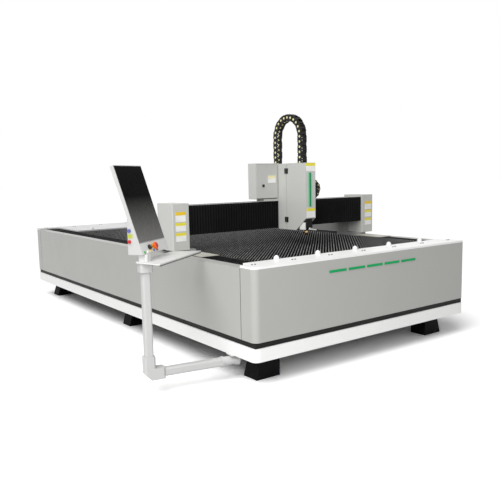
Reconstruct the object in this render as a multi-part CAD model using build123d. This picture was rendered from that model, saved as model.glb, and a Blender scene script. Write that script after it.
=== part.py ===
from build123d import *
import math
import os

# Open-bed fiber laser cutting machine for 3000 x 1500 mm sheet, in millimetres.
# The bed is built round its own centre: -Y is the front, -X the console's side, the floor is Z = 0.
# At the end everything moves so that the origin is the middle of the whole machine's footprint.

LEFT, RIGHT = -1, 1
FRONT, BACK = -1, 1
SIDES = (LEFT, RIGHT)
SEAT_GAP = 0.3
CUT_OVERRUN = 5
TURNED_SIDES = 16
HALF_TURN = 180

# Bed outline, from the floor up
BED_WIDTH = 2250
BED_LENGTH = 4400
CORNER_RADIUS = 45
FOOT_HEIGHT = 180
SKIRT_HEIGHT = 90
BAND_HEIGHT = 40
PANEL_HEIGHT = 482
END_PLATE_THICKNESS = 14
HALF_WIDTH = BED_WIDTH / 2
HALF_LENGTH = BED_LENGTH / 2
SKIRT_TOP = FOOT_HEIGHT + SKIRT_HEIGHT
PANEL_BOTTOM = SKIRT_TOP + BAND_HEIGHT
PANEL_TOP = PANEL_BOTTOM + PANEL_HEIGHT
END_PLATE_TOP = PANEL_TOP + END_PLATE_THICKNESS

# Sheet metal
SHEET = 3
PANEL_LIP = 24
WRAP_LENGTH = 150
RIM_WIDTH = 80
RIM_DROP = 20
RIM_LIP = 7

# Frame beams
BASE_BEAM_WIDTH = 80
BAND_RECESS = 15
TROUGH_WIDTH = 150
RAIL_SEAT_DROP = 92
END_WEB_INSET = 90
END_WEB_THICKNESS = 50
CROSS_BEAM_HEIGHT = 60
TUBE_WALL = 8
TROUGH_OUTER = HALF_WIDTH - RIM_WIDTH
TROUGH_INNER = TROUGH_OUTER - TROUGH_WIDTH
RAIL_SEAT = PANEL_TOP - RAIL_SEAT_DROP

# Feet: three on each side
FOOT_LENGTH = 150
FOOT_SIDE_INSET = 122
FOOT_BASE_WIDTH = 202
FOOT_NECK_WIDTH = 150
FOOT_SOLE = 12
FOOT_END_INSET = 225
FOOT_INNER = HALF_WIDTH - FOOT_SIDE_INSET - FOOT_BASE_WIDTH
FOOT_STATIONS = (FOOT_END_INSET - HALF_LENGTH, 0, HALF_LENGTH - FOOT_END_INSET)

# End plates on the bed's top
FRONT_FLANGE_DEPTH = 225
BACK_COVER_DEPTH = 770
FLANGE_BOLT_COUNT = 7
FLANGE_BOLT_EDGE = 84
FLANGE_BOLT_GAP = 26
FLANGE_BOLT_RADIUS = 7
FLANGE_BOLT_SIDES = 6
FLANGE_BOLT_HEIGHT = 5
STUD_COUNT = 5
STUD_EDGE = 349
STUD_RADIUS = 21
STUD_HEIGHT = 30
STUD_SHOULDER_RADIUS = 19
STUD_SHOULDER_HEIGHT = 18
STUD_TIP_RADIUS = 8
STUD_SIDES = 10
STUD_INSET = 24

# Green light strips on the front panel
STRIP_COUNT = 5
STRIP_LENGTH = 168
STRIP_PITCH = 191
STRIP_HEIGHT = 18
STRIP_THICKNESS = 3
STRIP_DROP = 74

# Slat field
SLAT_COUNT = 36
SLAT_TEETH = 8
SLAT_THICKNESS = 4
SLAT_HEIGHT = 80
SLAT_TOOTH_HEIGHT = 26
SLAT_RISE = 8
SLAT_SIDE_GAP = 0.4
COMB_THICKNESS = 15
COMB_DROP = 30
COMB_TOP_DROP = 2
FIELD_END_GAP = 14
FIELD_FRONT = FRONT_FLANGE_DEPTH - HALF_LENGTH
FIELD_BACK = HALF_LENGTH - BACK_COVER_DEPTH
SLAT_TOP = PANEL_TOP + SLAT_RISE
SLAT_BOTTOM = SLAT_TOP - SLAT_HEIGHT
COMB_INNER = TROUGH_INNER - COMB_THICKNESS
SLAT_PITCH = (FIELD_BACK - FIELD_FRONT - 2 * FIELD_END_GAP) / SLAT_COUNT

# Scrap tray under the slats
TRAY_WALL_HEIGHT = 120
TRAY_SIDE_GAP = 6

# Rails and racks in the troughs
RAIL_WIDTH = 34
RAIL_HEIGHT = 35
RAIL_INSET = 38
RAIL_END_GAP = 160
RACK_WIDTH = 25
RACK_HEIGHT = 30
RACK_INSET = 2
TROUGH_CLEARANCE = 2

# Folded dust covers
TROUGH_FOLD_DEPTH = 15
TROUGH_FOLD_PITCH = 240
BEAM_FOLD_PITCH = 70
BEAM_FOLD_DEPTH = 20
FOLD_SKIN = 2

# Gantry at rest
GANTRY_FROM_FRONT = 1034
END_COVER_WIDTH = 150
END_COVER_LENGTH = 245
END_COVER_HEIGHT = 363
END_COVER_LIFT = 28
END_COVER_INSET = 7
COVER_EDGE = 8
END_COVER_OUTER = HALF_WIDTH - END_COVER_INSET
END_COVER_INNER = END_COVER_OUTER - END_COVER_WIDTH
END_COVER_BOTTOM = PANEL_TOP + END_COVER_LIFT
END_COVER_TOP = END_COVER_BOTTOM + END_COVER_HEIGHT
GANTRY_FRONT = GANTRY_FROM_FRONT - HALF_LENGTH
GANTRY_BACK = GANTRY_FRONT + END_COVER_LENGTH

# Gantry beam, between the two end covers
BEAM_SETBACK = 76
BEAM_DEPTH = 200
BEAM_LIFT = 112
BEAM_HEIGHT = 228
BEAM_WALL = 10
BEAM_RAIL_SIZE = 20
BEAM_RAIL_INSET = 45
BEAM_RAIL_END_GAP = 12
BEAM_FRONT = GANTRY_FRONT + BEAM_SETBACK
BEAM_BACK = BEAM_FRONT + BEAM_DEPTH
BEAM_BOTTOM = END_COVER_BOTTOM + BEAM_LIFT
BEAM_TOP = BEAM_BOTTOM + BEAM_HEIGHT

# Saddles that carry the beam on the rails
SADDLE_SIDE_GAP = 10
SADDLE_FRONT_INSET = 16
SADDLE_THICKNESS = 55
LEG_LENGTH = 95
LEG_TAIL = 400
LEG_WIDTH = 60
BLOCK_LENGTH = 90
BLOCK_SIDE = 15
BLOCK_LIFT = 4
BLOCK_END_INSET = 15
SADDLE_FRONT = GANTRY_FRONT + SADDLE_FRONT_INSET
SADDLE_INNER = TROUGH_INNER + SADDLE_SIDE_GAP
SADDLE_OUTER = TROUGH_OUTER - SADDLE_SIDE_GAP
SADDLE_BOTTOM = END_COVER_BOTTOM - SADDLE_THICKNESS

# Plates over the rails in front of the end covers
RAIL_COVER_REACH = 294
RAIL_COVER_LIFT = 3
RAIL_COVER_THICKNESS = 5

# Drives inside the end covers
PINION_RADIUS = 16
PINION_HEIGHT = 25
PINION_LIFT = 3
PINION_BACK = 60
SHAFT_RADIUS = 6
MOTOR_SIZE = 56
MOTOR_HEIGHT = 150
MOTOR_CHAMFER = 6
MOTOR_BORE_DEPTH = 25
PINION_X = TROUGH_OUTER - RACK_INSET - RACK_WIDTH - SEAT_GAP - PINION_RADIUS
PINION_Y = GANTRY_BACK - PINION_BACK

# Dust covers in front of the beam
BELLOWS_SETBACK = 16
BELLOWS_RISE = 3
BELLOWS_END_GAP = 0.3
BELLOWS_HEAD_GAP = 0.3
BELLOWS_FRONT = GANTRY_FRONT + BELLOWS_SETBACK

# Cutting-axis cover on the carriage
Z_COVER_LEFT = -62
Z_COVER_WIDTH = 108
Z_COVER_DEPTH = 354
Z_COVER_HEIGHT = 558
Z_COVER_DROP = 7
Z_COVER_GAP = 3
Z_FIXED_WALL = 112
Z_CHAMFER_DEPTH = 122
Z_CHAMFER_RISE = 102
Z_SLOT_GAP = 5
HINGE_RADIUS = 4.5
HINGE_OFFSET = 5
HINGE_HEIGHT = 44
HINGE_LEAF = 22
HINGE_LOW_INSET = 85
HINGE_HIGH_INSET = 63
Z_COVER_RIGHT = Z_COVER_LEFT + Z_COVER_WIDTH
Z_COVER_BACK = BELLOWS_FRONT - Z_COVER_GAP
Z_COVER_FRONT = Z_COVER_BACK - Z_COVER_DEPTH
Z_COVER_BOTTOM = BEAM_BOTTOM - Z_COVER_DROP
Z_COVER_TOP = Z_COVER_BOTTOM + Z_COVER_HEIGHT
Z_COVER_SEAM = Z_COVER_BACK - Z_FIXED_WALL
Z_CENTRE = (Z_COVER_LEFT + Z_COVER_RIGHT) / 2

# Carriage plate
PLATE_THICKNESS = 14
PLATE_GAP = 2
PLATE_HALF_WIDTH = 142
PLATE_LIFT = 13
PLATE_SHOULDER_DROP = 10
PLATE_TOP_DROP = 13
GUIDE_WIDTH = 44
GUIDE_REACH = 42
CARRIAGE_BLOCK_LENGTH = 80
CARRIAGE_BLOCK_HEIGHT = 44
PLATE_FRONT = BELLOWS_FRONT + BEAM_FOLD_DEPTH + FOLD_SKIN + PLATE_GAP
PLATE_BACK = PLATE_FRONT + PLATE_THICKNESS
PLATE_BOTTOM = BEAM_BOTTOM + PLATE_LIFT
PLATE_SHOULDER = BEAM_TOP - PLATE_SHOULDER_DROP
PLATE_TOP = Z_COVER_TOP - PLATE_TOP_DROP
GUIDE_FRONT = Z_COVER_BACK - GUIDE_REACH

# Rear box of the carriage, clear above the end covers, with a flap door, its lock and a foot
BOX_WIDTH = 239
BOX_DEPTH = 107
BOX_HEIGHT = 302
BOX_LIFT = 2
BOX_FOOT_WIDTH = 153
BOX_FOOT_LIFT = 6
BOX_FRAME = 16
DOOR_EDGE = 3
DOOR_SILL = 8
DOOR_THICKNESS = 4
DOOR_ROLL_RADIUS = 3
DOOR_HINGE_GAP = 2.5
LOCK_RADIUS = 12
LOCK_HEIGHT = 7
LOCK_STEM_RADIUS = 6
LOCK_FROM_SIDE = 75
LOCK_FROM_BOTTOM = 114
LOCK_SLOT_WIDTH = 3
LOCK_SLOT_DEPTH = 2
BOX_LEFT = Z_COVER_LEFT - BOX_WIDTH
BOX_FRONT = BELLOWS_FRONT
BOX_BACK = BOX_FRONT + BOX_DEPTH
BOX_BOTTOM = END_COVER_TOP + BOX_LIFT
BOX_TOP = BOX_BOTTOM + BOX_HEIGHT
DOOR_BACK = BOX_FRONT - SEAT_GAP
DOOR_FRONT = DOOR_BACK - DOOR_THICKNESS
DOOR_LEFT = BOX_LEFT + DOOR_EDGE
DOOR_RIGHT = Z_COVER_LEFT - HINGE_OFFSET - HINGE_RADIUS - DOOR_HINGE_GAP
DOOR_TOP = BOX_TOP - DOOR_EDGE
LOCK_X = BOX_LEFT + LOCK_FROM_SIDE
LOCK_Z = BOX_BOTTOM + LOCK_FROM_BOTTOM

# Cable chains: side plates in two layers, joined by cross bars
LINK_REACH_SHARE = 0.25
LINK_SHOULDER_SHARE = 0.08
LINK_BAR_SHARE = 0.3
CHAIN_PLATE = 4
CHAIN_BAR = 4
CHAIN_PITCH = 73
ARCH_WIDTH = 58
ARCH_LINK_HEIGHT = 60
ARCH_RADIUS = 160
ARCH_RISE = 227
ARCH_BEHIND = 46
ARCH_OFFSET = 18
ARCH_LINKS = 14
BEAM_CHAIN_WIDTH = 50
BEAM_CHAIN_HEIGHT = 40
BEAM_CHAIN_RADIUS = 72
BEAM_CHAIN_BEND_X = 465
BEAM_CHAIN_INSET = 90
BEAM_CHAIN_LINKS = 16
BRACKET_THICKNESS = 8
BRACKET_DROP = 190
LINK_REACH = CHAIN_PITCH * LINK_REACH_SHARE
ARCH_X = Z_CENTRE + ARCH_OFFSET
ARCH_BACK_Y = PLATE_BACK + ARCH_BEHIND
ARCH_FRONT_Y = ARCH_BACK_Y - 2 * ARCH_RADIUS
ARCH_CENTRE_Z = Z_COVER_TOP + ARCH_RISE
BEAM_CHAIN_Y = BEAM_FRONT + BEAM_CHAIN_INSET

# Cutting head
SLIDE_WIDTH = 74
SLIDE_THICKNESS = 20
SLIDE_LIFT = 65
HEAD_WIDTH = 70
HEAD_DEPTH = 87
HEAD_HEIGHT = 195
HEAD_FRONT_GAP = 15
HEAD_LIFT = 60
HEAD_ARM_HEIGHT = 40
HEAD_ARM_LIFT = 105
COLLAR_RADIUS = 31
COLLAR_HEIGHT = 34
CONE_HEIGHT = 30
CONE_TIP_RADIUS = 15
NOZZLE_RADIUS = 14
NOZZLE_TIP_RADIUS = 5
NOZZLE_RING_HEIGHT = 16
NOZZLE_HEIGHT = 36
CHAIN_SEAT_THICKNESS = 14
SLIDE_BOTTOM = PLATE_BOTTOM + SLIDE_LIFT
HEAD_FRONT = Z_COVER_FRONT + HEAD_FRONT_GAP
HEAD_BACK = HEAD_FRONT + HEAD_DEPTH
HEAD_BOTTOM = Z_COVER_BOTTOM + HEAD_LIFT
HEAD_TOP = HEAD_BOTTOM + HEAD_HEIGHT
HEAD_ARM_BOTTOM = HEAD_BOTTOM + HEAD_ARM_LIFT

# Console support: an arm from under the bed, an elbow and a column
COLUMN_OUT = 561
COLUMN_BACK = 386
COLUMN_SIZE = 56
COLUMN_CORNER = 14
COLUMN_TOP = 858
COLLAR_SIZE = 82
COLLAR_DEPTH = 60
ARM_YAW = -10.2
ARM_LEVEL = 138
ARM_RING_RADIUS = 37
ARM_SOCKET_RADIUS = 31
ARM_RING_WIDTH = 12
ARM_RING_NEAR = 500
ARM_RING_FAR = 605
ELBOW_SIZE = 74
ELBOW_HEIGHT = 153
ELBOW_REACH = 100
ELBOW_CHAMFER = 42
ELBOW_CORNER = 12
BRACKET_PLATE = 12
BRACKET_FLANGE_RADIUS = 38
BRACKET_FOOT_LENGTH = 70
BRACKET_FOOT_WIDTH = 90
COLUMN_X = -(HALF_WIDTH + COLUMN_OUT)
COLUMN_Y = COLUMN_BACK - HALF_LENGTH

# Console, in its own frame: X across, -Y towards the operator, turned about the column
CONSOLE_YAW = 36
TRAY_FRONT = 153
TRAY_BACK = 45
TRAY_FRONT_LEFT = -110
TRAY_FRONT_RIGHT = 569
TRAY_BACK_LEFT = -44
TRAY_BACK_RIGHT = 492
TRAY_THICKNESS = 8
TRAY_CORNER = 10
SPIGOT_RADIUS = 19
SPIGOT_DEPTH = 40
NECK_SIZE = 64
NECK_HEIGHT = 45.7
CASE_LEFT = -61
CASE_WIDTH = 360
CASE_BACK = 80
CASE_FRONT = 22
SCREEN_HEIGHT = 510
SCREEN_TILT = 18
STRIP_RISE = 70
MONITOR_THICKNESS = 26
GLASS_THICKNESS = 2
GLASS_MARGIN = 5
TRAY_TOP = COLUMN_TOP + SEAT_GAP + TRAY_THICKNESS
CASE_BOTTOM = TRAY_TOP + NECK_HEIGHT
CASE_RIGHT = CASE_LEFT + CASE_WIDTH
SCREEN_BOTTOM = CASE_BOTTOM + STRIP_RISE

# Console controls
KNOB_RADIUS = 15
KNOB_HEIGHT = 18
KNOB_STEM_RADIUS = 5
ESTOP_RADIUS = 23
ESTOP_HEAD = 12
ESTOP_CHAMFER = 4
ESTOP_STAND = 14
ESTOP_STEM_RADIUS = 11
ESTOP_TRAVEL = 6
STEM_DEPTH = 12
UPPER_ROW_SHARE = 0.55
LOWER_ROW_SHARE = 0.2
KNOB_X = 46
ESTOP_X = 107
BUTTON_COUNT = 5
BUTTON_SIZE = 14
BUTTON_CHAMFER = 2
BUTTON_STAND = 5
BUTTON_FIRST = -30
BUTTON_PITCH = 42
BUTTON_TRAVEL = 3
SIDE_BUTTON_RADIUS = 11
SIDE_BUTTON_STAND = 9
SIDE_BUTTON_TRAVEL = 4
SIDE_BUTTON_INSET = 13
SIDE_BUTTON_LIFTS = {"side_button_blue": 150, "side_button_red": 82}


# Helpers


def span_box(x, y, z):
    """A box between two limits along each axis."""
    (x0, x1), (y0, y1), (z0, z1) = sorted(x), sorted(y), sorted(z)
    return Pos((x0 + x1) / 2, (y0 + y1) / 2, (z0 + z1) / 2) * Box(x1 - x0, y1 - y0, z1 - z0)


def face_of(points):
    """A flat face with straight edges through the points."""
    return make_face(Polyline(*points, close=True))


def prism_x(points, x0, x1):
    """An outline in Y and Z, carried from x0 to x1."""
    plane = Plane((x0, 0, 0), x_dir=(0, 1, 0), z_dir=(1, 0, 0))
    return extrude(plane * face_of(points), amount=x1 - x0)


def prism_y(points, y0, y1):
    """An outline in X and Z, carried from y0 to y1."""
    plane = Plane((0, y1, 0), x_dir=(1, 0, 0), z_dir=(0, -1, 0))
    return extrude(plane * face_of(points), amount=y1 - y0)


def prism_z(points, z0, z1):
    """An outline in X and Y, carried from z0 to z1."""
    return extrude(Pos(0, 0, z0) * face_of(points), amount=z1 - z0)


def tube_x(x, y, z):
    """A rectangular tube along X, open at both ends."""
    (x0, x1), (y0, y1), (z0, z1) = sorted(x), sorted(y), sorted(z)
    hollow = span_box(
        (x0 - CUT_OVERRUN, x1 + CUT_OVERRUN),
        (y0 + TUBE_WALL, y1 - TUBE_WALL),
        (z0 + TUBE_WALL, z1 - TUBE_WALL),
    )
    return span_box(x, y, z) - hollow


def channel_y(x_inner, x_outer, y, z):
    """A closed-ended channel along Y, open towards its inner side."""
    (y0, y1), (z0, z1) = sorted(y), sorted(z)
    wall = math.copysign(TUBE_WALL, x_outer)
    hollow = span_box(
        (x_inner - math.copysign(CUT_OVERRUN, x_outer), x_outer - wall),
        (y0 + BASE_BEAM_WIDTH, y1 - BASE_BEAM_WIDTH),
        (z0 + TUBE_WALL, z1 - TUBE_WALL),
    )
    return span_box((x_inner, x_outer), y, z) - hollow


def tube_y(x, y, z):
    """A rectangular tube along Y, open at both ends."""
    (x0, x1), (y0, y1), (z0, z1) = sorted(x), sorted(y), sorted(z)
    hollow = span_box(
        (x0 + TUBE_WALL, x1 - TUBE_WALL),
        (y0 - CUT_OVERRUN, y1 + CUT_OVERRUN),
        (z0 + TUBE_WALL, z1 - TUBE_WALL),
    )
    return span_box(x, y, z) - hollow


def upright(radius, z0, z1):
    """A round pin or stem about the local Z axis."""
    return Pos(0, 0, (z0 + z1) / 2) * Cylinder(radius, z1 - z0)


def flatted(radius, z0, z1, sides=TURNED_SIDES):
    """A small part or bore about the local Z axis, with flat sides."""
    return extrude(Pos(0, 0, z0) * RegularPolygon(radius, sides), amount=z1 - z0)


def tapered(base_radius, tip_radius, height, sides=TURNED_SIDES):
    """A flat-sided part on the local XY plane that narrows evenly towards its tip."""
    narrowing = (base_radius - tip_radius) * math.cos(math.pi / sides)
    angle = math.degrees(math.atan2(narrowing, height))
    return extrude(RegularPolygon(base_radius, sides), amount=height, taper=angle)


def hung(z, part):
    """A part turned upside down, with its base at a height."""
    return Pos(0, 0, z) * Rot(HALF_TURN, 0, 0) * part


def soft_post(size, corner, z0, z1):
    """A square post with rounded corners about the local Z axis."""
    return extrude(Pos(0, 0, z0) * RectangleRounded(size, size, corner), amount=z1 - z0)


def mirrored(side, points):
    """The outline of the right side, or its mirror image on the left."""
    return [(side * x, z) for x, z in points]


def pleats(start, end, low, high, pitch):
    """The outline of a folded skin: along from start to end, between low and high."""
    folds = max(1, round(abs(end - start) / pitch))
    step = (end - start) / (2 * folds)
    edge = [(start + i * step, high if i % 2 else low) for i in range(2 * folds + 1)]
    return edge + [(along, across + FOLD_SKIN) for along, across in reversed(edge)]


# Bed


def base_frame():
    """White skirt beams with rounded outer corners, and the cross beams over the feet."""
    level = (FOOT_HEIGHT, SKIRT_TOP)
    inner = HALF_WIDTH - BASE_BEAM_WIDTH
    outline = extrude(
        Pos(0, 0, FOOT_HEIGHT) * RectangleRounded(BED_WIDTH, BED_LENGTH, CORNER_RADIUS),
        amount=SKIRT_HEIGHT,
    )
    beams = []
    for side in SIDES:
        strip = channel_y(side * inner, side * HALF_WIDTH, (-HALF_LENGTH, HALF_LENGTH), level)
        beams.append(outline & strip)
        end = (side * HALF_LENGTH, side * (HALF_LENGTH - BASE_BEAM_WIDTH))
        beams.append(tube_x((-inner, inner), end, level))
    for station in FOOT_STATIONS:
        across = (station - FOOT_LENGTH / 2, station + FOOT_LENGTH / 2)
        beams.append(tube_x((-inner, inner), across, level))
    return beams


def main_frame():
    """Black tubes on the base: a low and a high one along each side and end, and cross tubes."""
    reach_x = HALF_WIDTH - BAND_RECESS
    reach_y = HALF_LENGTH - BAND_RECESS
    web_out = HALF_LENGTH - END_WEB_INSET
    web_in = web_out - END_WEB_THICKNESS
    across = (-TROUGH_INNER, TROUGH_INNER)
    low = (SKIRT_TOP, PANEL_BOTTOM)
    beams = []
    for side in SIDES:
        inner = side * TROUGH_INNER
        beams.append(channel_y(inner, side * reach_x, (-reach_y, reach_y), low))
        web = (inner, side * TROUGH_OUTER)
        beams.append(tube_y(web, (-web_out, web_out), (PANEL_BOTTOM, RAIL_SEAT)))
        beams.append(tube_x(across, (side * web_in, side * reach_y), low))
        beams.append(tube_x(across, (side * web_in, side * web_out), (PANEL_BOTTOM, PANEL_TOP)))
    cross_level = (SKIRT_TOP, SKIRT_TOP + CROSS_BEAM_HEIGHT)
    for station in FOOT_STATIONS:
        front = max(station - FOOT_LENGTH / 2, -web_in)
        back = min(station + FOOT_LENGTH / 2, web_in)
        beams.append(tube_x(across, (front, back), cross_level))
    rear = (FIELD_BACK, FIELD_BACK + END_WEB_THICKNESS)
    beams.append(tube_x(across, rear, (SLAT_BOTTOM, PANEL_TOP)))
    return beams


def feet():
    """Six feet, each with a sole that flares outward."""
    section = [
        (FOOT_INNER, 0),
        (FOOT_INNER + FOOT_BASE_WIDTH, 0),
        (FOOT_INNER + FOOT_BASE_WIDTH, FOOT_SOLE),
        (FOOT_INNER + FOOT_NECK_WIDTH, FOOT_HEIGHT),
        (FOOT_INNER, FOOT_HEIGHT),
    ]
    half = FOOT_LENGTH / 2
    return [
        prism_y(mirrored(side, section), station - half, station + half)
        for side in SIDES
        for station in FOOT_STATIONS
    ]


def side_panel(side):
    """A folded side panel: its wall and the lips at its bottom and top."""
    top = PANEL_TOP - SHEET
    wall = HALF_WIDTH - SHEET
    lip = HALF_WIDTH - PANEL_LIP
    section = [
        (HALF_WIDTH, PANEL_BOTTOM),
        (HALF_WIDTH, top),
        (lip, top),
        (lip, top - SHEET),
        (wall, top - SHEET),
        (wall, PANEL_BOTTOM + SHEET),
        (lip, PANEL_BOTTOM + SHEET),
        (lip, PANEL_BOTTOM),
    ]
    reach = HALF_LENGTH - WRAP_LENGTH
    return prism_y(mirrored(side, section), -reach, reach)


def end_panel(end):
    """A front or back panel that wraps round both corners, with a lip at its bottom."""
    def ring(inset, height):
        outer = RectangleRounded(BED_WIDTH, BED_LENGTH, CORNER_RADIUS)
        inner = RectangleRounded(
            BED_WIDTH - 2 * inset, BED_LENGTH - 2 * inset, max(CORNER_RADIUS - inset, SHEET)
        )
        return extrude(Pos(0, 0, PANEL_BOTTOM) * (outer - inner), amount=height)

    shell = ring(SHEET, PANEL_HEIGHT) + ring(PANEL_LIP, SHEET)
    seam = end * (HALF_LENGTH - WRAP_LENGTH)
    past = end * (HALF_LENGTH + CUT_OVERRUN)
    width = HALF_WIDTH + CUT_OVERRUN
    keep = span_box((-width, width), (seam, past), (PANEL_BOTTOM, PANEL_TOP))
    return shell & keep


def top_rims():
    """Folded rims: a top plate, an inner wall and a lip under the dust cover."""
    drop = PANEL_TOP - RIM_DROP
    section = [
        (HALF_WIDTH, PANEL_TOP),
        (TROUGH_OUTER, PANEL_TOP),
        (TROUGH_OUTER, drop),
        (TROUGH_OUTER - RIM_LIP, drop),
        (TROUGH_OUTER - RIM_LIP, drop - SHEET),
        (TROUGH_OUTER + SHEET, drop - SHEET),
        (TROUGH_OUTER + SHEET, PANEL_TOP - SHEET),
        (HALF_WIDTH, PANEL_TOP - SHEET),
    ]
    reach = HALF_LENGTH - WRAP_LENGTH
    return [prism_y(mirrored(side, section), -reach, reach) for side in SIDES]


def end_plate(end, depth, inner_half_width):
    """A white plate over one end of the bed, narrower past the ends of the rims."""
    wide = RectangleRounded(BED_WIDTH, BED_LENGTH, CORNER_RADIUS)
    body = extrude(Pos(0, 0, PANEL_TOP) * wide, amount=END_PLATE_THICKNESS)
    level = (PANEL_TOP, END_PLATE_TOP)
    past = end * (HALF_LENGTH + CUT_OVERRUN)
    seam = end * (HALF_LENGTH - WRAP_LENGTH)
    width = HALF_WIDTH + CUT_OVERRUN
    head = body & span_box((-width, width), (seam, past), level)
    inner = end * (HALF_LENGTH - depth)
    return head + span_box((-inner_half_width, inner_half_width), (inner, seam), level)


def flange_bolts():
    """Pairs of bolt heads along the middle of the front flange."""
    line = FRONT_FLANGE_DEPTH / 2 - HALF_LENGTH
    reach = HALF_WIDTH - FLANGE_BOLT_EDGE
    pitch = 2 * reach / (FLANGE_BOLT_COUNT - 1)
    bolts = []
    for i in range(FLANGE_BOLT_COUNT):
        for side in SIDES:
            x = i * pitch - reach + side * FLANGE_BOLT_GAP / 2
            top = END_PLATE_TOP + FLANGE_BOLT_HEIGHT
            head = flatted(FLANGE_BOLT_RADIUS, END_PLATE_TOP, top, FLANGE_BOLT_SIDES)
            bolts.append(Pos(x, line, 0) * head)
    return bolts


def glide_studs():
    """Domed studs that a sheet glides over as it is loaded."""
    line = FIELD_FRONT - STUD_INSET
    reach = HALF_WIDTH - STUD_EDGE
    pitch = 2 * reach / (STUD_COUNT - 1)
    rise = STUD_HEIGHT - STUD_SHOULDER_HEIGHT
    dome = tapered(STUD_SHOULDER_RADIUS, STUD_TIP_RADIUS, rise, STUD_SIDES)
    stud = tapered(STUD_RADIUS, STUD_SHOULDER_RADIUS, STUD_SHOULDER_HEIGHT, STUD_SIDES)
    stud += Pos(0, 0, STUD_SHOULDER_HEIGHT) * dome
    return [Pos(i * pitch - reach, line, END_PLATE_TOP) * stud for i in range(STUD_COUNT)]


def light_strips():
    """Green strips in a row on the front panel."""
    first = -STRIP_PITCH * (STRIP_COUNT - 1) / 2
    top = PANEL_TOP - STRIP_DROP
    strips = []
    for i in range(STRIP_COUNT):
        x = first + i * STRIP_PITCH
        across = (x - STRIP_LENGTH / 2, x + STRIP_LENGTH / 2)
        depth = (-HALF_LENGTH - STRIP_THICKNESS, -HALF_LENGTH)
        strips.append(span_box(across, depth, (top - STRIP_HEIGHT, top)))
    return strips


def slat_line(i):
    """The middle of slat i along the bed."""
    return FIELD_FRONT + FIELD_END_GAP + (i + 1 / 2) * SLAT_PITCH


def slats():
    """Saw-tooth slats across the bed, with their ends in the combs."""
    half = COMB_INNER + COMB_THICKNESS - SEAT_GAP
    step = half / SLAT_TEETH
    valley = SLAT_TOP - SLAT_TOOTH_HEIGHT
    teeth = [(half - i * step, SLAT_TOP if i % 2 else valley) for i in range(2 * SLAT_TEETH + 1)]
    outline = [(-half, SLAT_BOTTOM), (half, SLAT_BOTTOM)] + teeth
    slat = prism_y(outline, -SLAT_THICKNESS / 2, SLAT_THICKNESS / 2)
    return [Pos(0, slat_line(i), 0) * slat for i in range(SLAT_COUNT)]


def slat_combs():
    """Upright bars beside the troughs, with one slot for each slat."""
    top = PANEL_TOP - COMB_TOP_DROP
    slot = SLAT_THICKNESS / 2 + SLAT_SIDE_GAP
    edge = [(FIELD_FRONT, SLAT_BOTTOM - COMB_DROP), (FIELD_FRONT, top)]
    for i in range(SLAT_COUNT):
        y = slat_line(i)
        edge += [(y - slot, top), (y - slot, SLAT_BOTTOM), (y + slot, SLAT_BOTTOM), (y + slot, top)]
    edge += [(FIELD_BACK, top), (FIELD_BACK, SLAT_BOTTOM - COMB_DROP)]
    return [
        prism_x(edge, *sorted((side * COMB_INNER, side * TROUGH_INNER)))
        for side in SIDES
    ]


def scrap_tray():
    """An open tray on the cross beams, under the slats."""
    bottom = SKIRT_TOP + CROSS_BEAM_HEIGHT
    half = COMB_INNER - TRAY_SIDE_GAP
    front = FOOT_STATIONS[0]
    back = FIELD_BACK - TRAY_SIDE_GAP
    outer = span_box((-half, half), (front, back), (bottom, bottom + TRAY_WALL_HEIGHT))
    inner = span_box(
        (SHEET - half, half - SHEET),
        (front + SHEET, back - SHEET),
        (bottom + SHEET, bottom + TRAY_WALL_HEIGHT + CUT_OVERRUN),
    )
    return outer - inner


def y_rails():
    """The two guide rails, each along its side beam."""
    reach = HALF_LENGTH - RAIL_END_GAP
    inner = TROUGH_INNER + RAIL_INSET
    level = (RAIL_SEAT, RAIL_SEAT + RAIL_HEIGHT)
    return [
        span_box((side * inner, side * (inner + RAIL_WIDTH)), (-reach, reach), level)
        for side in SIDES
    ]


def y_racks():
    """The two racks beside the rails."""
    reach = HALF_LENGTH - RAIL_END_GAP
    outer = TROUGH_OUTER - RACK_INSET
    level = (RAIL_SEAT, RAIL_SEAT + RACK_HEIGHT)
    return [
        span_box((side * (outer - RACK_WIDTH), side * outer), (-reach, reach), level)
        for side in SIDES
    ]


def trough_bellows(start, end):
    """Folded dust covers over both rails, on the lips of the rims."""
    low = PANEL_TOP - RIM_DROP
    outline = pleats(start, end, low, low + TROUGH_FOLD_DEPTH, TROUGH_FOLD_PITCH)
    inner = TROUGH_INNER + TROUGH_CLEARANCE
    outer = TROUGH_OUTER - TROUGH_CLEARANCE
    return [prism_x(outline, *sorted((side * inner, side * outer))) for side in SIDES]


# Gantry


def end_cover(side):
    """A sheet cover over one end of the gantry, open at its bottom."""
    x = sorted((side * END_COVER_INNER, side * END_COVER_OUTER))
    outer = span_box(x, (GANTRY_FRONT, GANTRY_BACK), (END_COVER_BOTTOM, END_COVER_TOP))
    outer = fillet(outer.edges().filter_by(Axis.Z), COVER_EDGE)
    inner = span_box(
        (x[0] + SHEET, x[1] - SHEET),
        (GANTRY_FRONT + SHEET, GANTRY_BACK - SHEET),
        (END_COVER_BOTTOM - CUT_OVERRUN, END_COVER_TOP - SHEET),
    )
    return outer - inner


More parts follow.
